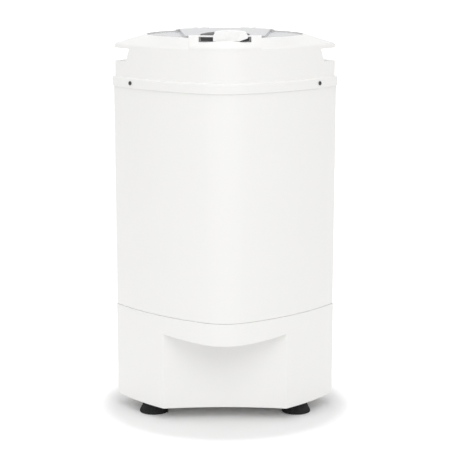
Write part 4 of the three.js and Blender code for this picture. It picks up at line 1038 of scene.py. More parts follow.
def top_cover():
    """Collar with the screw band, the side grips, the crown, the lid's recess and the mouth."""
    wall_in = COLLAR_INSET + COVER_WALL
    shoulder = SHELL_TOP + FIT_GAP
    mouth_low = RECESS - MOUTH_DEPTH
    rows = [
        (on_plan, -BAND_PROUD, BAND_BOTTOM),
        (on_plan, -BAND_PROUD, BAND_TOP),
        (on_plan, COLLAR_INSET, BAND_TOP),
        (on_plan, COLLAR_INSET, EDGE - EDGE_DROP),
        (on_plan, COLLAR_INSET + EDGE_IN, EDGE),
        (on_circle, RIM_RADIUS + RIM_WIDTH, RIM),
        (on_circle, RIM_RADIUS, RIM),
        (on_circle, RIM_RADIUS, RECESS),
        (on_circle, MOUTH_RADIUS, RECESS),
        (on_circle, MOUTH_RADIUS, mouth_low),
        (on_circle, MOUTH_RADIUS + COVER_WALL, mouth_low),
        (on_circle, MOUTH_RADIUS + COVER_WALL, RECESS - COVER_WALL),
        (on_circle, RIM_RADIUS + COVER_WALL, RECESS - COVER_WALL),
        (on_circle, RIM_RADIUS + COVER_WALL, RIM - (RIM - EDGE) / 2),
        (on_plan, wall_in, EDGE - EDGE_DROP - COVER_WALL),
        (on_plan, wall_in, shoulder),
        (on_plan, -FIT_GAP, shoulder),
        (on_plan, -FIT_GAP, BAND_BOTTOM),
    ]
    square = (0,) * (len(rows) - len(COVER_ROUNDS))
    cover = body_skin("top_cover_fine", rows, COVER_ROUNDS + square)
    pocket_z = RIM - POCKET_DEPTH
    for sideways in (-1, 1):
        join(cover, meet(grip_tool(sideways, COVER_WALL, RIM), crown_solid("body", -SLIVER)))
    wall = meet(pocket_tool(COVER_WALL, pocket_z - COVER_WALL), crown_solid("body", -SLIVER))
    join(cover, cut(wall, rod("hub", RIM_RADIUS, EDGE, RIM + OVERRUN, sides=ROUND_SIDES)))
    for sideways in (-1, 1):
        cut(cover, grip_tool(sideways, 0, EDGE - GRIP_TOP))
    cut(cover, pocket_tool(0, pocket_z), hinge_room())
    plunger = middle_of("switch_plunger")
    low, high = pocket_z - 2 * OVERRUN, pocket_z + OVERRUN
    return cut(cover, rod("plunger_hole", PLUNGER_RADIUS + RUN_GAP, low, high, plunger.x, plunger.y))


def crown_plate(name, back, half_rim, half_edge, rise):
    """Plate laid on the crown, between two edges that run outwards from the rim."""
    near = back * (RIM_RADIUS - OVERRUN)
    far = back * (HALF_DEPTH + OVERRUN)
    right = [(half_rim, 0), (half_rim, near), (half_edge, far)]
    strip = prism("strip", right + [(-x, y) for x, y in right[::-1]], BAND_TOP, RIM + COLLAR_HEIGHT)
    hub = rod("hub", RIM_RADIUS, EDGE, RIM + OVERRUN, sides=2 * ROUND_SIDES)
    return cut(meet(crown_solid(name, FIT_GAP + rise), strip), crown_under(FIT_GAP), hub)


def front_plate():
    """Raised plate at the front of the crown, with the bead that the latch slides along."""
    plate = crown_plate("front_plate_fine", -1, *FRONT_PLATE, PLATE_RISE)
    cut(plate, pocket_tool(0, RIM - POCKET_DEPTH))
    inner = RIM_RADIUS + (RIM_WIDTH - BEAD_WIDTH) / 2
    low = RIM + FIT_GAP + PLATE_RISE - BEAD_DROP
    profile = stepped(inner, low, inner + BEAD_WIDTH, low + BEAD_WIDTH)
    bead = turned("bead", profile, 2 * ROUND_SIDES, radii=BEAD_ROUNDS)
    half = FRONT_PLATE[0]
    front = -RIM_RADIUS - 2 * OVERRUN
    window = block("window", (-half, front, EDGE), (half, -RIM_RADIUS / 2, RIM + 2 * OVERRUN))
    return join(plate, meet(bead, window))


def hinge_cover():
    """Raised plate at the back of the crown, with the two ears that hold the hinge pin."""
    plate = crown_plate("hinge_cover_fine", 1, *REAR_PLATE, REAR_PLATE_RISE)
    for sideways in (-1, 1):
        low, high = sorted((sideways * HINGE_HALF, sideways * (HINGE_HALF + HINGE_EAR)))
        ear = hinge_bar("ear", HINGE_KNUCKLE, low, high)
        front, back = HINGE_Y - HINGE_KNUCKLE, HINGE_Y + HINGE_KNUCKLE
        stand = block("stand", (low, front, EDGE), (high, back, HINGE_Z))
        join(plate, cut(join(ear, stand), crown_under(FIT_GAP)))
    return cut(plate, hinge_room())


def latch_slot():
    """The slot that the latch's shank slides in."""
    half = LATCH_SHANK / 2 + RUN_GAP
    low = (LATCH_X - LATCH_TRAVEL - half, SHANK_Y - half, LID_Z - OVERRUN)
    return block("slot", low, (LATCH_X + half, SHANK_Y + half, RIM + COLLAR_HEIGHT))


def trapezoid(inset):
    """Outline of the lid's raised panel, moved inwards by a distance."""
    front, rear, radius = PANEL_FRONT - inset, PANEL_REAR - inset, LID_RADIUS - inset
    return [(-front, -radius), (front, -radius), (rear, radius), (-rear, radius)]


def lid_panel():
    """Smoked round lid: a disc with a raised panel from front to back, hollow underneath, and a skirt."""
    disc = prism("lid_panel_fine", circle(LID_RADIUS), LID_Z, LID_Z + LID_THICKNESS, LID_ROUND)
    over = [(x, y * PANEL_OVERREACH) for x, y in trapezoid(0)]
    raised = prism("raised", over, LID_Z + PANEL_SINK, PANEL_Z, PANEL_ROUND)
    edge = circle(LID_RADIUS - SLIVER)
    limit = prism("limit", edge, LID_Z + PANEL_LIMIT_SINK, PANEL_Z + HAIR, LID_ROUND)
    join(disc, meet(raised, limit))
    hollow = prism("hollow", trapezoid(LID_THICKNESS), LID_Z - OVERRUN, PANEL_Z - LID_THICKNESS)
    wall = circle(LID_RADIUS - LID_THICKNESS)
    cut(disc, meet(hollow, prism("inner", wall, LID_Z - 2 * OVERRUN, PANEL_Z)))
    skirt_low = RECESS + RUN_GAP
    inner = LID_RADIUS - LID_SKIRT
    outer = LID_RADIUS - 2 * SLIVER
    profile = stepped(inner, skirt_low, outer, LID_Z + JOIN_DEPTH)
    join(disc, turned("skirt", profile, 2 * ROUND_SIDES, radii=LID_SKIRT_ROUNDS))
    arm_start = math.sqrt(LID_RADIUS**2 - (HINGE_ARM_SPREAD + HINGE_ARM_WIDTH) ** 2) - OVERRUN
    for sideways in (-1, 1):
        x = sideways * HINGE_ARM_SPREAD
        half = HINGE_ARM_WIDTH / 2 + FIT_GAP
        low = (x - half, arm_start, LID_Z - OVERRUN)
        cut(disc, block("arm_room", low, (x + half, 2 * LID_RADIUS - arm_start, PANEL_Z - LID_THICKNESS)))
    return cut(disc, latch_slot())


def latch_base():
    """Black bed under the latch, as painted shade: a low dome that stands for the shade in the latch's
    pocket, and a flange that hangs before the edge of the lid as a dark strip in place of the shadowed gap
    there.
    """
    seat = PANEL_Z
    half = LATCH_BASE_HALF
    profile = [
        (0, seat),
        (half, seat),
        (half, seat + LATCH_DOME / 4),
        (half * 3 / 4, seat + LATCH_DOME * 3 / 4),
        (half / 2, seat + LATCH_DOME),
        (0, seat + LATCH_DOME),
    ]
    y = -(LID_RADIUS - LATCH_BASE_SETBACK - half)
    dome = turned("latch_base_fine", profile, LATCH_DOME_SIDES, y=y, radii=LATCH_DOME_ROUNDS)
    # Painted shade: the black flange hangs before the lid's edge so that the gap there reads dark, as a
    # shadow would
    inner = LID_RADIUS + FIT_GAP
    outer = inner + LATCH_SHADE_FLANGE_WALL
    hanging = (inner, seat - LATCH_SHADE_FLANGE_DROP, outer, seat + LATCH_SHADE_FLANGE_WALL)
    section = stepped(inner - LATCH_SHADE_FLANGE_REACH, seat, *hanging)
    flange = turned("flange", section, 2 * ROUND_SIDES, radii=LATCH_SHADE_FLANGE_ROUNDS)
    low = (-LATCH_SHADE_FLANGE_HALF, -2 * outer, EDGE)
    window = block("window", low, (LATCH_SHADE_FLANGE_HALF, -outer / 2, RIM + COLLAR_HEIGHT))
    return cut(join(dome, meet(flange, window)), latch_slot())


def lid_latch():
    """White sliding latch: arched plate, front skirt with a thumb hollow, and a shank with its foot."""
    low, high = span("lid_latch")
    front, top = low.y, high.z
    bottom = PANEL_Z + LATCH_DOME + RUN_GAP
    half = LATCH_WIDTH / 2
    skirt_low = top - LATCH_CROWN - LATCH_HANG + LATCH_TRIM
    right = [(LATCH_X + half / 2, skirt_low), (LATCH_X + half, skirt_low + LATCH_RISE)]
    arch = [(LATCH_X - half, skirt_low), *right]
    for i in range(LATCH_STEPS + 1):
        share = 1 - 2 * i / LATCH_STEPS
        corner = max(abs(share) - LATCH_SHOULDER, 0) / (1 - LATCH_SHOULDER)
        drop = LATCH_CROWN * abs(share) ** LATCH_BOW + LATCH_CORNER * corner**3
        arch.append((LATCH_X + half * share, top - drop))
    columns = [[Vector((x, front, z)), Vector((x, front + LATCH_DEPTH, z))] for x, z in arch]
    plate = skin("lid_latch_fine", columns, closed=False)
    room_high = (LATCH_X + half + OVERRUN, front + LATCH_DEPTH + OVERRUN, bottom)
    room_low = (LATCH_X - half - OVERRUN, front + LATCH_SKIRT, skirt_low - OVERRUN)
    cut(plate, block("room", room_low, room_high))
    thumb = Vector((LATCH_X + THUMB_SHIFT, front + THUMB_DEPTH - THUMB_RADIUS, top - LATCH_HANG / 2))
    cut(plate, ball("thumb", THUMB_RADIUS, thumb))
    round_edges(plate, LATCH_EDGE, LATCH_EDGE_ANGLE)
    foot_low = PANEL_Z - LID_THICKNESS - RUN_GAP - LATCH_FOOT
    reach = LATCH_SHANK / 2
    corner = Vector((reach, reach, 0))
    shank = Vector((LATCH_X, SHANK_Y, foot_low))
    tall = Vector((0, 0, bottom + JOIN_DEPTH - foot_low))
    join(plate, block("shank", shank - corner, shank + corner + tall))
    corner.y += LATCH_FOOT
    return join(plate, block("foot", shank - corner, shank + corner + Vector((0, 0, LATCH_FOOT))))


def rubber_foot(name, place):
    """Flared rubber cup with fine ribs round its skirt, and the stem that snaps through the floor."""
    head = BASE_BOTTOM + BASE_FLOOR + FIT_GAP
    hollow, depth = FOOT_HOLLOW
    ring_in, ring_out = FOOT_RING
    barb, tip = FOOT_BARB
    profile = [
        (0, depth),
        (hollow, depth),
        (ring_in, 0),
        (ring_out, 0),
        (ring_out, FOOT_LIP),
        FOOT_WAIST,
        (FOOT_TOP, BASE_BOTTOM),
        (FOOT_STEM, BASE_BOTTOM),
        (FOOT_STEM, head),
        (barb, head),
        (FOOT_STEM, head + tip),
        (0, head + tip),
    ]

    def wave(i, radius):
        on_skirt = FOOT_TOP + FOOT_RIB_END < radius < ring_out - FOOT_RIB_END
        return radius - (FOOT_RIB if i % 4 < 2 and on_skirt else 0)

    return turned(name, profile, FOOT_SIDES, place.x, place.y, FOOT_ROUNDS, wave)


# Tub and drain
def outer_tub():
    """Water tub with its collar round the shaft and the outlet pipe in its floor."""
    floor = TUB_BOTTOM + TUB_FLOOR
    inside = (TUB_RADIUS - TUB_WALL, floor, TUB_BORE + TUB_FLOOR, TUB_BOTTOM + TUB_COLLAR)
    profile = stepped(TUB_BORE, TUB_BOTTOM, TUB_RADIUS, TUB_TOP, *inside)
    tub = turned("outer_tub_fine", profile, radii=TUB_ROUNDS)
    low = span("outer_tub")[0].z
    join(tub, rod("pipe", OUTLET_RADIUS, low, TUB_BOTTOM + JOIN_DEPTH, OUTLET.x, OUTLET.y))
    return bore(tub, OUTLET_BORE, low, floor, OUTLET.x, OUTLET.y)


def tub_gasket():
    inner = TUB_RADIUS - GASKET_WIDTH
    return ring("tub_gasket_fine", TUB_RADIUS, inner, TUB_TOP, TUB_TOP + GASKET_HEIGHT, GASKET_ROUND)


def shaft_seal():
    """Rubber bellows between the tub's collar and the shaft."""
    outer = TUB_BORE - FIT_GAP
    inner = SHAFT_RADIUS + RUN_GAP
    top = TUB_BOTTOM + TUB_COLLAR - FIT_GAP
    fold = TUB_BOTTOM + TUB_COLLAR / 3
    middle = (outer + inner) / 2
    profile = [
        (outer, TUB_BOTTOM),
        (outer, top),
        (outer - SEAL_LIP, top),
        (middle, fold),
        (inner + SEAL_LIP / 2, top),
        (inner, top),
        (inner, fold),
        (middle, TUB_BOTTOM - TUB_COLLAR / 3),
        (outer - SEAL_LIP, TUB_BOTTOM),
    ]
    return turned("shaft_seal_fine", profile, radii=SEAL_ROUNDS)


def drain_hose():
    low, high = span("drain_hose")
    inner = OUTLET_RADIUS + FIT_GAP
    outer = inner + HOSE_WALL
    sizes = (outer, inner, low.z, high.z, HOSE_ROUND)
    return ring("drain_hose_fine", *sizes, OUTLET.x, OUTLET.y, MEDIUM_SIDES)


def drain_spout():
    """Spout from the hose through the roof of the scoop, with the flange that it rests on."""
    low, high = span("drain_spout")
    seat = ROOF + BASE_WALL
    flange = (seat, OUTLET_RADIUS + SPOUT_FLANGE, seat + SPOUT_FLANGE / 2)
    profile = stepped(OUTLET_BORE, low.z, OUTLET_RADIUS, *flange, OUTLET_RADIUS, high.z)
    return turned("drain_spout_fine", profile, MEDIUM_SIDES, OUTLET.x, OUTLET.y, SPOUT_ROUNDS)


# Basket
def spin_basket():
    """Rolled basket wall, with staggered rows of drain holes all round."""
    low = BASKET_BOTTOM + BASKET_CORNER
    inner = BASKET_RADIUS - BASKET_WALL
    top = BASKET_TOP - BALANCE_HEIGHT
    wall = ring("spin_basket_fine", BASKET_RADIUS, inner, low, top, BASKET_ROUND, sides=BASKET_SIDES)
    start = Vector((inner - HOLE_OVERRUN, 0, low + HOLE_LOW))
    end = Vector((BASKET_RADIUS + HOLE_OVERRUN, 0, low + HOLE_LOW))
    hole = bar("holes", start, end, HOLE_RADIUS, HOLE_SIDES)
    return cut(wall, spread(hole, HOLE_COLUMNS, HOLE_ROWS, (0, 0, HOLE_PITCH)))


def basket_floor():
    """Pressed basket floor that rises to a cone over the hub."""
    inner = THREAD_RADIUS + FIT_GAP
    reach = BASKET_RADIUS - BASKET_WALL - FIT_GAP
    knee = BASKET_CORNER / 3
    top = BASKET_BOTTOM + BASKET_CORNER
    under = [
        (inner, HUB_TOP),
        (CONE_TOP, HUB_TOP),
        (CONE_FOOT, BASKET_BOTTOM),
        (reach - BASKET_CORNER, BASKET_BOTTOM),
        (reach - knee, BASKET_BOTTOM + knee),
        (reach, top),
        (reach, top + BASKET_SEAM),
    ]
    over = [
        (reach - BASKET_WALL, top + BASKET_SEAM),
        (reach - BASKET_WALL, top),
        (reach - BASKET_WALL - knee, BASKET_BOTTOM + knee + BASKET_WALL),
        (reach - BASKET_CORNER, BASKET_BOTTOM + BASKET_WALL),
        (CONE_FOOT, BASKET_BOTTOM + BASKET_WALL),
        (CONE_TOP, HUB_TOP + BASKET_WALL),
        (inner, HUB_TOP + BASKET_WALL),
    ]
    rounds = BASKET_FLOOR_ROUNDS + BASKET_FLOOR_ROUNDS[::-1]
    return turned("basket_floor_fine", under + over, radii=rounds)


def basket_rim():
    """Balance ring that closes the top of the basket, with a rounded lip for the laundry."""
    bottom = BASKET_TOP - BALANCE_HEIGHT
    outer = span("basket_rim")[1].x
    inner = outer - BALANCE_WIDTH
    profile = [
        (inner, bottom + BALANCE_HEIGHT / 3),
        (outer - BALANCE_WIDTH / 2, bottom),
        (outer, bottom),
        (outer, BASKET_TOP - BALANCE_HEIGHT / 4),
        (outer - BALANCE_WIDTH / 4, BASKET_TOP),
        (outer - BALANCE_WIDTH / 2, BASKET_TOP),
        (inner, bottom + BALANCE_HEIGHT / 2),
    ]
    return turned("basket_rim_fine", profile, radii=BALANCE_ROUNDS)


def basket_hub():
    """Flanged hub on the shaft, which carries the basket floor."""
    flange, thick = HUB_FLANGE
    profile = stepped(SHAFT_RADIUS + FIT_GAP, BASKET_BOTTOM, HUB_NECK, HUB_TOP - thick, flange, HUB_TOP)
    return turned("basket_hub_fine", profile, radii=HUB_ROUNDS)


def hub_nut():
    """Hexagon nut with turned corners."""
    top = NUT_BOTTOM + NUT_HEIGHT
    corners = [(y, -x) for x, y in circle(NUT_RADIUS, HEXAGON)]
    nut = prism("hub_nut_fine", corners, NUT_BOTTOM, top)
    flat = NUT_RADIUS * math.cos(math.pi / HEXAGON)
    wide = NUT_RADIUS + NUT_OVER
    profile = [(0, NUT_BOTTOM), (flat, NUT_BOTTOM), (wide, NUT_BOTTOM + NUT_CHAMFER)]
    profile += [(wide, top - NUT_CHAMFER), (flat, top), (0, top)]
    meet(nut, turned("corners", profile))
    return bore(nut, THREAD_RADIUS + FIT_GAP, NUT_BOTTOM, top)


def hub_cap():
    """Smooth cap over the nut, so that no cloth catches on it."""
    half = NUT_BOTTOM + CAP_HEIGHT / 2
    top = NUT_BOTTOM + CAP_HEIGHT
    over = [
        (CAP_RADIUS, NUT_BOTTOM),
        (CAP_RADIUS - CAP_WALL / 2, half),
        (CAP_RADIUS / 2, top),
        (0, top + CAP_WALL),
    ]
    under = [
        (0, top),
        (CAP_RADIUS / 2 - CAP_WALL / 2, top - CAP_WALL),
        (CAP_RADIUS - CAP_WALL * 3 / 2, half - CAP_WALL),
        (CAP_RADIUS - CAP_WALL, NUT_BOTTOM),
    ]
    return turned("hub_cap_fine", over + under, radii=CAP_ROUNDS)


# Drive
def drive_shaft():
    low, high = span("drive_shaft")
    shoulder = low.z + SHAFT_LOW_LENGTH + FIT_GAP
    profile = stepped(0, low.z, SHAFT_LOW_RADIUS, shoulder, SHAFT_RADIUS, HUB_TOP, THREAD_RADIUS, high.z)
    return turned("drive_shaft_fine", profile, MEDIUM_SIDES, radii=SHAFT_ROUNDS)


def bearing(node):
    """Ball bearing, with its shields set back between its races."""
    low, high = span(node)
    shaft = SHAFT_RADIUS if node == "upper_bearing" else SHAFT_LOW_RADIUS
    inner = shaft + RUN_GAP
    race = (high.x - inner) / 4
    first, last = inner + race, high.x - race
    under = (inner, low.z, first, low.z + SHIELD_INSET, last, low.z)
    over = (high.x, high.z, last, high.z - SHIELD_INSET, first, high.z)
    rounds = BEARING_ROUNDS + BEARING_ROUNDS[::-1]
    return turned(node + "_fine", stepped(*under, *over), MEDIUM_SIDES, radii=rounds)


def motor_housing():
    """Motor can with upright cooling fins all round."""
    bottom = PLATE_BOTTOM - MOTOR_LENGTH
    inner = MOTOR_RADIUS - MOTOR_WALL
    can = ring("motor_housing_fine", MOTOR_RADIUS, inner, bottom, PLATE_BOTTOM, MOTOR_ROUND)
    middle = (bottom + PLATE_BOTTOM) / 2
    half = MOTOR_LENGTH * FIN_SHARE / 2
    low = (MOTOR_RADIUS - MOTOR_WALL / 2, -FIN_WIDTH / 2, middle - half)
    high = (MOTOR_RADIUS + FIN_HEIGHT, FIN_WIDTH / 2, middle + half)
    fin = round_edges(block("fins", low, high), MOTOR_ROUND)
    fin.data.transform(Matrix.Rotation(math.pi / FIN_COUNT, 4, "Z"))
    return join(can, spread(fin, FIN_COUNT))


def motor_core(node, outer, inner, length):
    """A ring at the middle of the motor's length."""
    middle = PLATE_BOTTOM - MOTOR_LENGTH / 2
    return ring(node + "_fine", outer, inner, middle - length / 2, middle + length / 2, MOTOR_ROUND)


def motor_stator():
    return motor_core("motor_stator", MOTOR_RADIUS - MOTOR_WALL - FIT_GAP, STATOR_BORE, STATOR_LENGTH)


def motor_rotor():
    return motor_core("motor_rotor", STATOR_BORE - ROTOR_GAP, SHAFT_RADIUS + FIT_GAP, ROTOR_LENGTH)


def motor_end_cap():
    """Lower end cap with the seat of the lower bearing."""
    low = span("motor_end_cap")[0]
    bearing_low, bearing_high = span("lower_bearing")
    seat = bearing_high.x + FIT_GAP
    lip = seat - SEAT_LIP
    profile = [
        (lip, low.z),
        (MOTOR_RADIUS - END_CAP_HEIGHT / 2, low.z),
        (MOTOR_RADIUS, low.z + END_CAP_HEIGHT / 2),
        (MOTOR_RADIUS, low.z + END_CAP_HEIGHT),
        (MOTOR_RADIUS - MOTOR_WALL, low.z + END_CAP_HEIGHT),
        (MOTOR_RADIUS - MOTOR_WALL, low.z + END_CAP_HEIGHT - END_CAP_WALL),
        (seat + END_CAP_WALL, low.z + END_CAP_WALL),
        (seat + END_CAP_WALL, bearing_high.z),
        (seat, bearing_high.z),
        (seat, bearing_low.z - FIT_GAP),
        (lip, bearing_low.z - FIT_GAP),
    ]
    return turned("motor_end_cap_fine", profile, radii=END_CAP_ROUNDS)


def motor_top_shield():
    """Bearing shield on the carrier plate, with the seat of the upper bearing."""
    low, high = span("upper_bearing")
    seat = high.x + FIT_GAP
    flange = (SHIELD_RADIUS, PLATE_TOP + SHIELD_FLANGE)
    pocket = (seat + SEAT_WALL, high.z, seat, low.z - FIT_GAP)
    profile = stepped(seat - SEAT_LIP, PLATE_TOP, *flange, *pocket)
    return turned("motor_top_shield_fine", profile, radii=SHIELD_ROUNDS)


def motor_plate():
    """Carrier plate: a disc over the motor and an arm out to each spring."""
    plate = rod("motor_plate_fine", MOTOR_RADIUS + PLATE_RIM, PLATE_BOTTOM, PLATE_TOP, sides=ROUND_SIDES)
    for x, y in spring_places():
        along = Vector((x, y))
        across = Vector((-y, x)).normalized() * ARM_WIDTH / 2
        outline = [tuple(p) for p in (-across, along - across, along + across, across)]
        join(plate, prism("arm", outline, PLATE_BOTTOM, PLATE_TOP))
        join(plate, rod("end", ARM_END, PLATE_BOTTOM, PLATE_TOP, x, y, MEDIUM_SIDES))
    return bore(plate, SHIELD_RADIUS - SEAT_LIP, PLATE_BOTTOM, PLATE_TOP, sides=MEDIUM_SIDES)


def brake_drum():
    """Brake drum on the shaft, dished between its rim and its hub."""
    low, high = span("brake_drum")
    dish = (DRUM_RADIUS - DRUM_WALL, low.z + DRUM_WALL, DRUM_HUB, high.z)
    profile = stepped(SHAFT_RADIUS + FIT_GAP, low.z, DRUM_RADIUS, high.z, *dish)
    return turned("brake_drum_fine", profile, radii=DRUM_ROUNDS)


def spring_cup(node, x, y):
    """Rubber cup over the top of a spring."""
    inner = COIL_RADIUS + COIL_WIRE + RUN_GAP
    top = PLATE_BOTTOM
    profile = stepped(0, top - CUP_WALL, inner, top - CUP_HEIGHT, inner + CUP_WALL, top)
    return turned(node + "_fine", profile, MEDIUM_SIDES, x, y, CUP_ROUNDS)


def suspension_spring(node, x, y):
    """Spring wound from its seat on the base to its cup."""
    low = BASE_BOTTOM + BASE_FLOOR + SPRING_BOSS[1] + COIL_WIRE + RUN_GAP
    high = PLATE_BOTTOM - CUP_WALL - COIL_WIRE - RUN_GAP
    thing = add(node + "_fine", bpy.data.meshes.new(node))
    sizes = {"Radius": COIL_WIRE, "Coil Radius": COIL_RADIUS, "Height": high - low}
    values = {name: size * MM for name, size in sizes.items()}
    values |= {"Sides": COIL_SIDES, "Turns": float(COIL_TURNS), "Finish": FINISHES["steel"]}
    run_tree(thing, COIL, values)
    return move(thing, (x, y, low))


# Cables, screws and electrical pieces
def brake_cable():
    """Cable in its sheath from the lid's hinge down behind the tub to the brake lever."""
    high = span("brake_cable")[1]
    x = -CABLE_ASIDE
    behind = high.y - CABLE_RADIUS
    support = span("tub_support")[0].z
    lever = middle_of("brake_lever")
    end_y = span("brake_lever")[1].y + CABLE_END_GAP
    aside, ahead = CABLE_BEND
    points = [
        (x, behind, high.z),
        (x, behind, (high.z + TUB_BOTTOM) / 2),
        (x, behind, TUB_BOTTOM + MOUTH_DEPTH),
        (x, behind, support - 2 * CABLE_RADIUS),
        (x - aside, behind - ahead, (support + lever.z) / 2),
        ((lever.x + x) / 2, (behind + end_y) / 2, lever.z + CABLE_RADIUS),
        (lever.x, end_y + 4 * CABLE_RADIUS, lever.z),
        (lever.x, end_y, lever.z),
    ]
    return tube("brake_cable_fine", points, CABLE_RADIUS, FINISHES["sheath_black"])


def collar_screw(node):
    """Screw square to the band's facet, with a cross in its rounded head."""
    middle = middle_of(node)
    sideways = math.copysign(1, middle.x)
    back = math.copysign(1, middle.y)
    centre = Vector((sideways * FACET.x, back * FACET.y, middle.z))
    out = (middle - centre).normalized()
    face = FACET_RADIUS + BAND_PROUD + FIT_GAP / 2
    head_radius, head = SCREW_HEAD
    shank_radius, length = SCREW_SHANK
    profile = stepped(0, face, head_radius, face + head)
    screw = turned(node + "_fine", profile, SCREW_HEAD_SIDES, radii=SCREW_ROUNDS)
    tip = face + head - length
    join(screw, rod("shank", shank_radius, tip, face + SCREW_SINK, sides=SCREW_SHANK_SIDES))
    reach, wide, deep = SCREW_CROSS
    for half in ((reach / 2, wide / 2), (wide / 2, reach / 2)):
        corner = Vector((*half, deep))
        top = Vector((0, 0, face + head))
        cut(screw, block("cross", top - corner, top + corner))
    screw.data.transform(out.to_track_quat("Z", "Y").to_matrix().to_4x4())
    return move(screw, centre)


def capacitor():
    """Capacitor can with a rolled edge round its top and two tabs."""
    low, high = span("capacitor")
    x = middle_of("capacitor").x
    top = low.z + CAPACITOR_HEIGHT
    outer, inner, sink = CAPACITOR_ROLL
    profile = [(0, low.z), (CAPACITOR_RADIUS, low.z), (CAPACITOR_RADIUS, top)]
    profile += [(CAPACITOR_RADIUS - outer, top), (CAPACITOR_RADIUS - inner, top - sink), (0, top - sink)]
    can = turned("capacitor_fine", profile, MEDIUM_SIDES, x, 0, CAPACITOR_ROUNDS)
    thick, wide = TAB_HALF
    for side in (-1, 1):
        y = side * CAPACITOR_RADIUS / 2
        join(can, block("tab", (x - thick, y - wide, top - 2 * sink), (x + thick, y + wide, high.z)))
    return can


def cord_gland():
    """Cord gland through the back of the base: a flange outside, a stem and a hexagon nut inside."""
    low, high = span("cord_gland")
    stem = (GLAND_RADIUS, GLAND_BORE, low.y, high.y, GLAND_ROUND)
    gland = ring("cord_gland_fine", *stem, sides=MEDIUM_SIDES)
    loose = GLAND_BORE + GLAND_PLAY
    flange = (high.x, loose, high.y - GLAND_FLANGE, high.y, GLAND_FLANGE_ROUND)
    join(gland, ring("flange", *flange, sides=MEDIUM_SIDES))
    hexagon = rod("nut", high.x - GLAND_PLAY, low.y, low.y + GLAND_NUT, sides=HEXAGON)
    join(gland, cut(hexagon, rod("bore", loose, low.y - OVERRUN, low.y + 2 * OVERRUN)))
    gland.data.transform(Matrix.Rotation(-math.pi / 2, 4, "X"))
    return move(gland, (0, 0, BASE_BOTTOM + GLAND_HEIGHT))


# Finishes
GLOSS_SPREAD = 0.04
COAT_ROUGHNESS = 0.08
TONE_SCALE = 14
BUMP_STRENGTH = 0.5


def new_material(name):
    """A material with its tree and its shader."""
    material = bpy.data.materials.new(name)
    material.use_nodes = True
    return material, material.node_tree, material.node_tree.nodes["Principled BSDF"]


def surface(
    name, color, roughness, metal=0, coat=0, shine=0.5, grain=0.6, depth=0.02, mottle=0.03, stretch=1
):
    """A finish with a fine grain, in millimetres, and slow changes of tone and gloss over it."""
    noise = "ShaderNodeTexNoise"
    material, tree, shader = new_material(name)
    feed(tree, shader, {"Metallic": metal, "Coat Weight": coat, "Coat Roughness": COAT_ROUGHNESS})
    place = add_node(tree, "ShaderNodeTexCoord")["Object"]
    grid = add_node(tree, "ShaderNodeMapping", {"Scale": (1, 1, stretch), "Vector": place})["Vector"]
    fine = add_node(tree, noise, {"Scale": 1 / (grain * MM), "Detail": 3, "Vector": grid})["Fac"]
    slow = add_node(tree, noise, {"Scale": TONE_SCALE, "Detail": 4, "Vector": grid})["Fac"]
    darker = [c * (1 - mottle) for c in color]
    tones = {"A": (*color, 1), "B": (*darker, 1), "Factor": slow}
    tone = add_node(tree, "ShaderNodeMix", tones, data_type="RGBA")["Result"]
    limits = {"To Min": roughness - GLOSS_SPREAD, "To Max": roughness + GLOSS_SPREAD, "Value": fine}
    gloss = add_node(tree, "ShaderNodeMapRange", limits)["Result"]
    relief = {"Strength": BUMP_STRENGTH, "Distance": depth * MM, "Height": fine}
    bump = add_node(tree, "ShaderNodeBump", relief)["Normal"]
    feed(tree, shader, {"Specular IOR Level": shine, "Base Color": tone})
    feed(tree, shader, {"Roughness": gloss, "Normal": bump})
    return material


WHITE = (0.93, 0.925, 0.91)
GLOSS_WHITE = (0.94, 0.94, 0.93)
SMOKE = (0.5, 0.51, 0.53)
BLACK = (0.03, 0.03, 0.033)
RUBBER = (0.018, 0.018, 0.019)
GREY_RUBBER = (0.2, 0.21, 0.22)
STEEL = (0.72, 0.73, 0.74)
ALUMINIUM = (0.6, 0.61, 0.62)
FINISHES = {
    "housing_white": surface("housing_white", WHITE, 0.42, mottle=0.015),
    "plastic_white": surface("plastic_white", GLOSS_WHITE, 0.25, coat=0.2, depth=0.01, mottle=0.015),
    "lid_smoked": surface("lid_smoked", SMOKE, 0.2, depth=0.004, mottle=0.04),
    "plastic_black": surface("plastic_black", BLACK, 0.4, grain=0.5, mottle=0.2),
    "sheath_black": surface("sheath_black", BLACK, 0.5, grain=0.8, mottle=0.2),
    "rubber_black": surface("rubber_black", RUBBER, 0.8, shine=0.3, grain=0.4, depth=0.04, mottle=0.3),
    "rubber_grey": surface("rubber_grey", GREY_RUBBER, 0.7, grain=0.5, depth=0.04, mottle=0.15),
    "steel": surface("steel", STEEL, 0.3, 1, grain=0.8, depth=0.01, mottle=0.08, stretch=0.05),
    "cast_aluminium": surface("cast_aluminium", ALUMINIUM, 0.5, 1, grain=1.4, depth=0.08, mottle=0.12),
}
SLOTS = {row["node"]: row["material_slot"] for row in frame["record"]["subparts"]}
BODIES = frame["record"]["behaviour"]["bodies"]
BODY_OF = {node: body for body, nodes in BODIES.items() for node in nodes}


def seat(thing, node):
    """Gives a fine piece its finish and, unless it is a spring, its body, in the place of the node that it
    stands for. A spring's mesh is only set in place in the world.
    """
    smooth(thing)
    thing.data.materials.clear()
    thing.data.materials.append(FINISHES[SLOTS[node]])
    if node.startswith("suspension_spring"):
        low, high = span(node)
        middle = middle_of(node)
        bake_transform(thing)
    else:
        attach(thing, BODY_OF[node])
    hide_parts(node)


def refined(node):
    """A copy of a node with its edges rounded."""
    thing = tidy(add(node + "_fine", frame["nodes"][node].data.copy()))
    mesh = bmesh.new()
    mesh.from_mesh(thing.data)
    bmesh.ops.dissolve_limit(mesh, angle_limit=math.radians(1), verts=mesh.verts, edges=mesh.edges)
    mesh.to_mesh(thing.data)
    mesh.free()
    return round_edges(thing, SMALL_EDGE, SMALL_EDGE_ANGLE, 2)


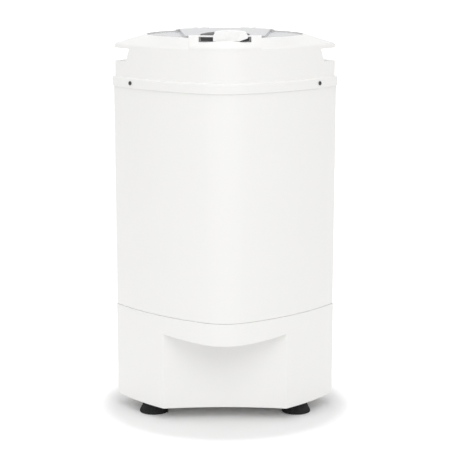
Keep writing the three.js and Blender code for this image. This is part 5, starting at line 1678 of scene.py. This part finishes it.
MAKERS = (
    base_housing, cabinet_shell, top_cover, front_plate, hinge_cover, lid_panel, latch_base,
    lid_latch, outer_tub, tub_gasket, shaft_seal, drain_hose, drain_spout, spin_basket,
    basket_floor, basket_rim, basket_hub, hub_nut, hub_cap, drive_shaft, motor_housing,
    motor_stator, motor_rotor, motor_end_cap, motor_top_shield, motor_plate, brake_drum,
    brake_cable, capacitor, cord_gland,
)
for make in MAKERS:
    seat(make(), make.__name__)
for node in ("upper_bearing", "lower_bearing"):
    seat(bearing(node), node)
for i in range(1, 5):
    node = "collar_screw_" + str(i)
    seat(collar_screw(node), node)
for i, (x, y) in enumerate(spring_places(), 1):
    seat(spring_cup("spring_cup_" + str(i), x, y), "spring_cup_" + str(i))
    seat(suspension_spring("suspension_spring_" + str(i), x, y), "suspension_spring_" + str(i))
for corner, place in FOOT_PLACES.items():
    seat(rubber_foot("foot_" + corner + "_fine", place), "foot_" + corner)
for node in frame["nodes"]:
    if not frame["nodes"][node].hide_render:
        seat(refined(node), node)


# Stage, light and camera
FLOOR_NEAR = 182
FLOOR_FAR = 288
FLOOR_METRES = 40
FLOOR_TONE = (0.92, 0.92, 0.92, 1)
FLOOR_ROUGHNESS = 0.9


def seen_or_mirrored(tree, rays):
    """One for what the camera or a mirroring face sees, and nought for light on other faces."""
    seen = {0: rays["Is Camera Ray"], 1: rays["Is Glossy Ray"]}
    return add_node(tree, "ShaderNodeMath", seen, operation="MAXIMUM")[0]


def stage():
    """A white floor that fades into a white background, and keeps the dryer's shadow near it."""
    bpy.ops.mesh.primitive_plane_add(size=FLOOR_METRES)
    floor = bpy.context.object
    floor.name = "floor"
    material, tree, shader = new_material("floor_white")
    feed(tree, shader, {"Base Color": FLOOR_TONE, "Roughness": FLOOR_ROUGHNESS})
    feed(tree, shader, {"Specular IOR Level": 0, "Emission Color": (1, 1, 1, 1)})
    place = add_node(tree, "ShaderNodeTexCoord")["Object"]
    reach = add_node(tree, "ShaderNodeVectorMath", {0: place}, operation="LENGTH")["Value"]
    fade = {"From Min": FLOOR_NEAR * MM, "From Max": FLOOR_FAR * MM, "Value": reach}
    ramp = add_node(tree, "ShaderNodeMapRange", fade, interpolation_type="SMOOTHSTEP")["Result"]
    seen = seen_or_mirrored(tree, add_node(tree, "ShaderNodeLightPath"))
    gain = add_node(tree, "ShaderNodeMath", {0: seen, 1: ramp}, operation="MULTIPLY")[0]
    feed(tree, shader, {"Emission Strength": gain})
    floor.data.materials.append(material)


def world(level, lean):
    """White where it is seen or mirrored. The light that it gives is softer, and leans to the left."""
    sky = bpy.data.worlds.new("studio")
    scene.world = sky
    sky.use_nodes = True
    tree = sky.node_tree
    rays = add_node(tree, "ShaderNodeLightPath")
    shown = {0: seen_or_mirrored(tree, rays), 1: rays["Is Transmission Ray"]}
    more = add_node(tree, "ShaderNodeMath", shown, operation="MAXIMUM")[0]
    place = add_node(tree, "ShaderNodeTexCoord")["Generated"]
    sideways = add_node(tree, "ShaderNodeSeparateXYZ", {"Vector": place})["X"]
    ends = {"From Min": -1, "To Min": level + lean, "To Max": level - lean, "Value": sideways}
    soft = add_node(tree, "ShaderNodeMapRange", ends)["Result"]
    gain = add_node(tree, "ShaderNodeMapRange", {"To Max": 1, "To Min": soft, "Value": more})["Result"]
    feed(tree, tree.nodes["Background"], {"Color": (1, 1, 1, 1), "Strength": gain})


def softbox(name, size, level, place, target):
    """A square light whose level is the brightness that it gives to white that faces it at the target."""
    light = bpy.data.lights.new(name, "AREA")
    light.size = size * MM
    away = (Vector(target) - Vector(place)) * MM
    light.energy = level * (math.pi * away.length) ** 2
    thing = add(name, light)
    thing.location = Vector(place) * MM
    thing.rotation_euler = away.to_track_quat("-Z", "Y").to_euler()


def camera():
    lens = bpy.data.cameras.new("camera")
    lens.sensor_width = SENSOR
    lens.lens = FOCAL_PIXELS * SENSOR / PHOTO_PIXELS
    thing = add("camera", lens)
    thing.location = Vector((0, -CAMERA_BACK, CAMERA_HEIGHT)) * MM
    thing.rotation_euler = (math.pi / 2 - CAMERA_PITCH, 0, 0)
    scene.camera = thing


stage()
world(level=0.75, lean=0.09)
camera()
softbox("overhead", size=1200, level=0.08, place=(0, -200, 2600), target=(0, 0, 0))
softbox("front", size=2000, level=0.235, place=(350, -2200, 2300), target=(0, 0, 350))
scene.view_settings.view_transform = "Standard"
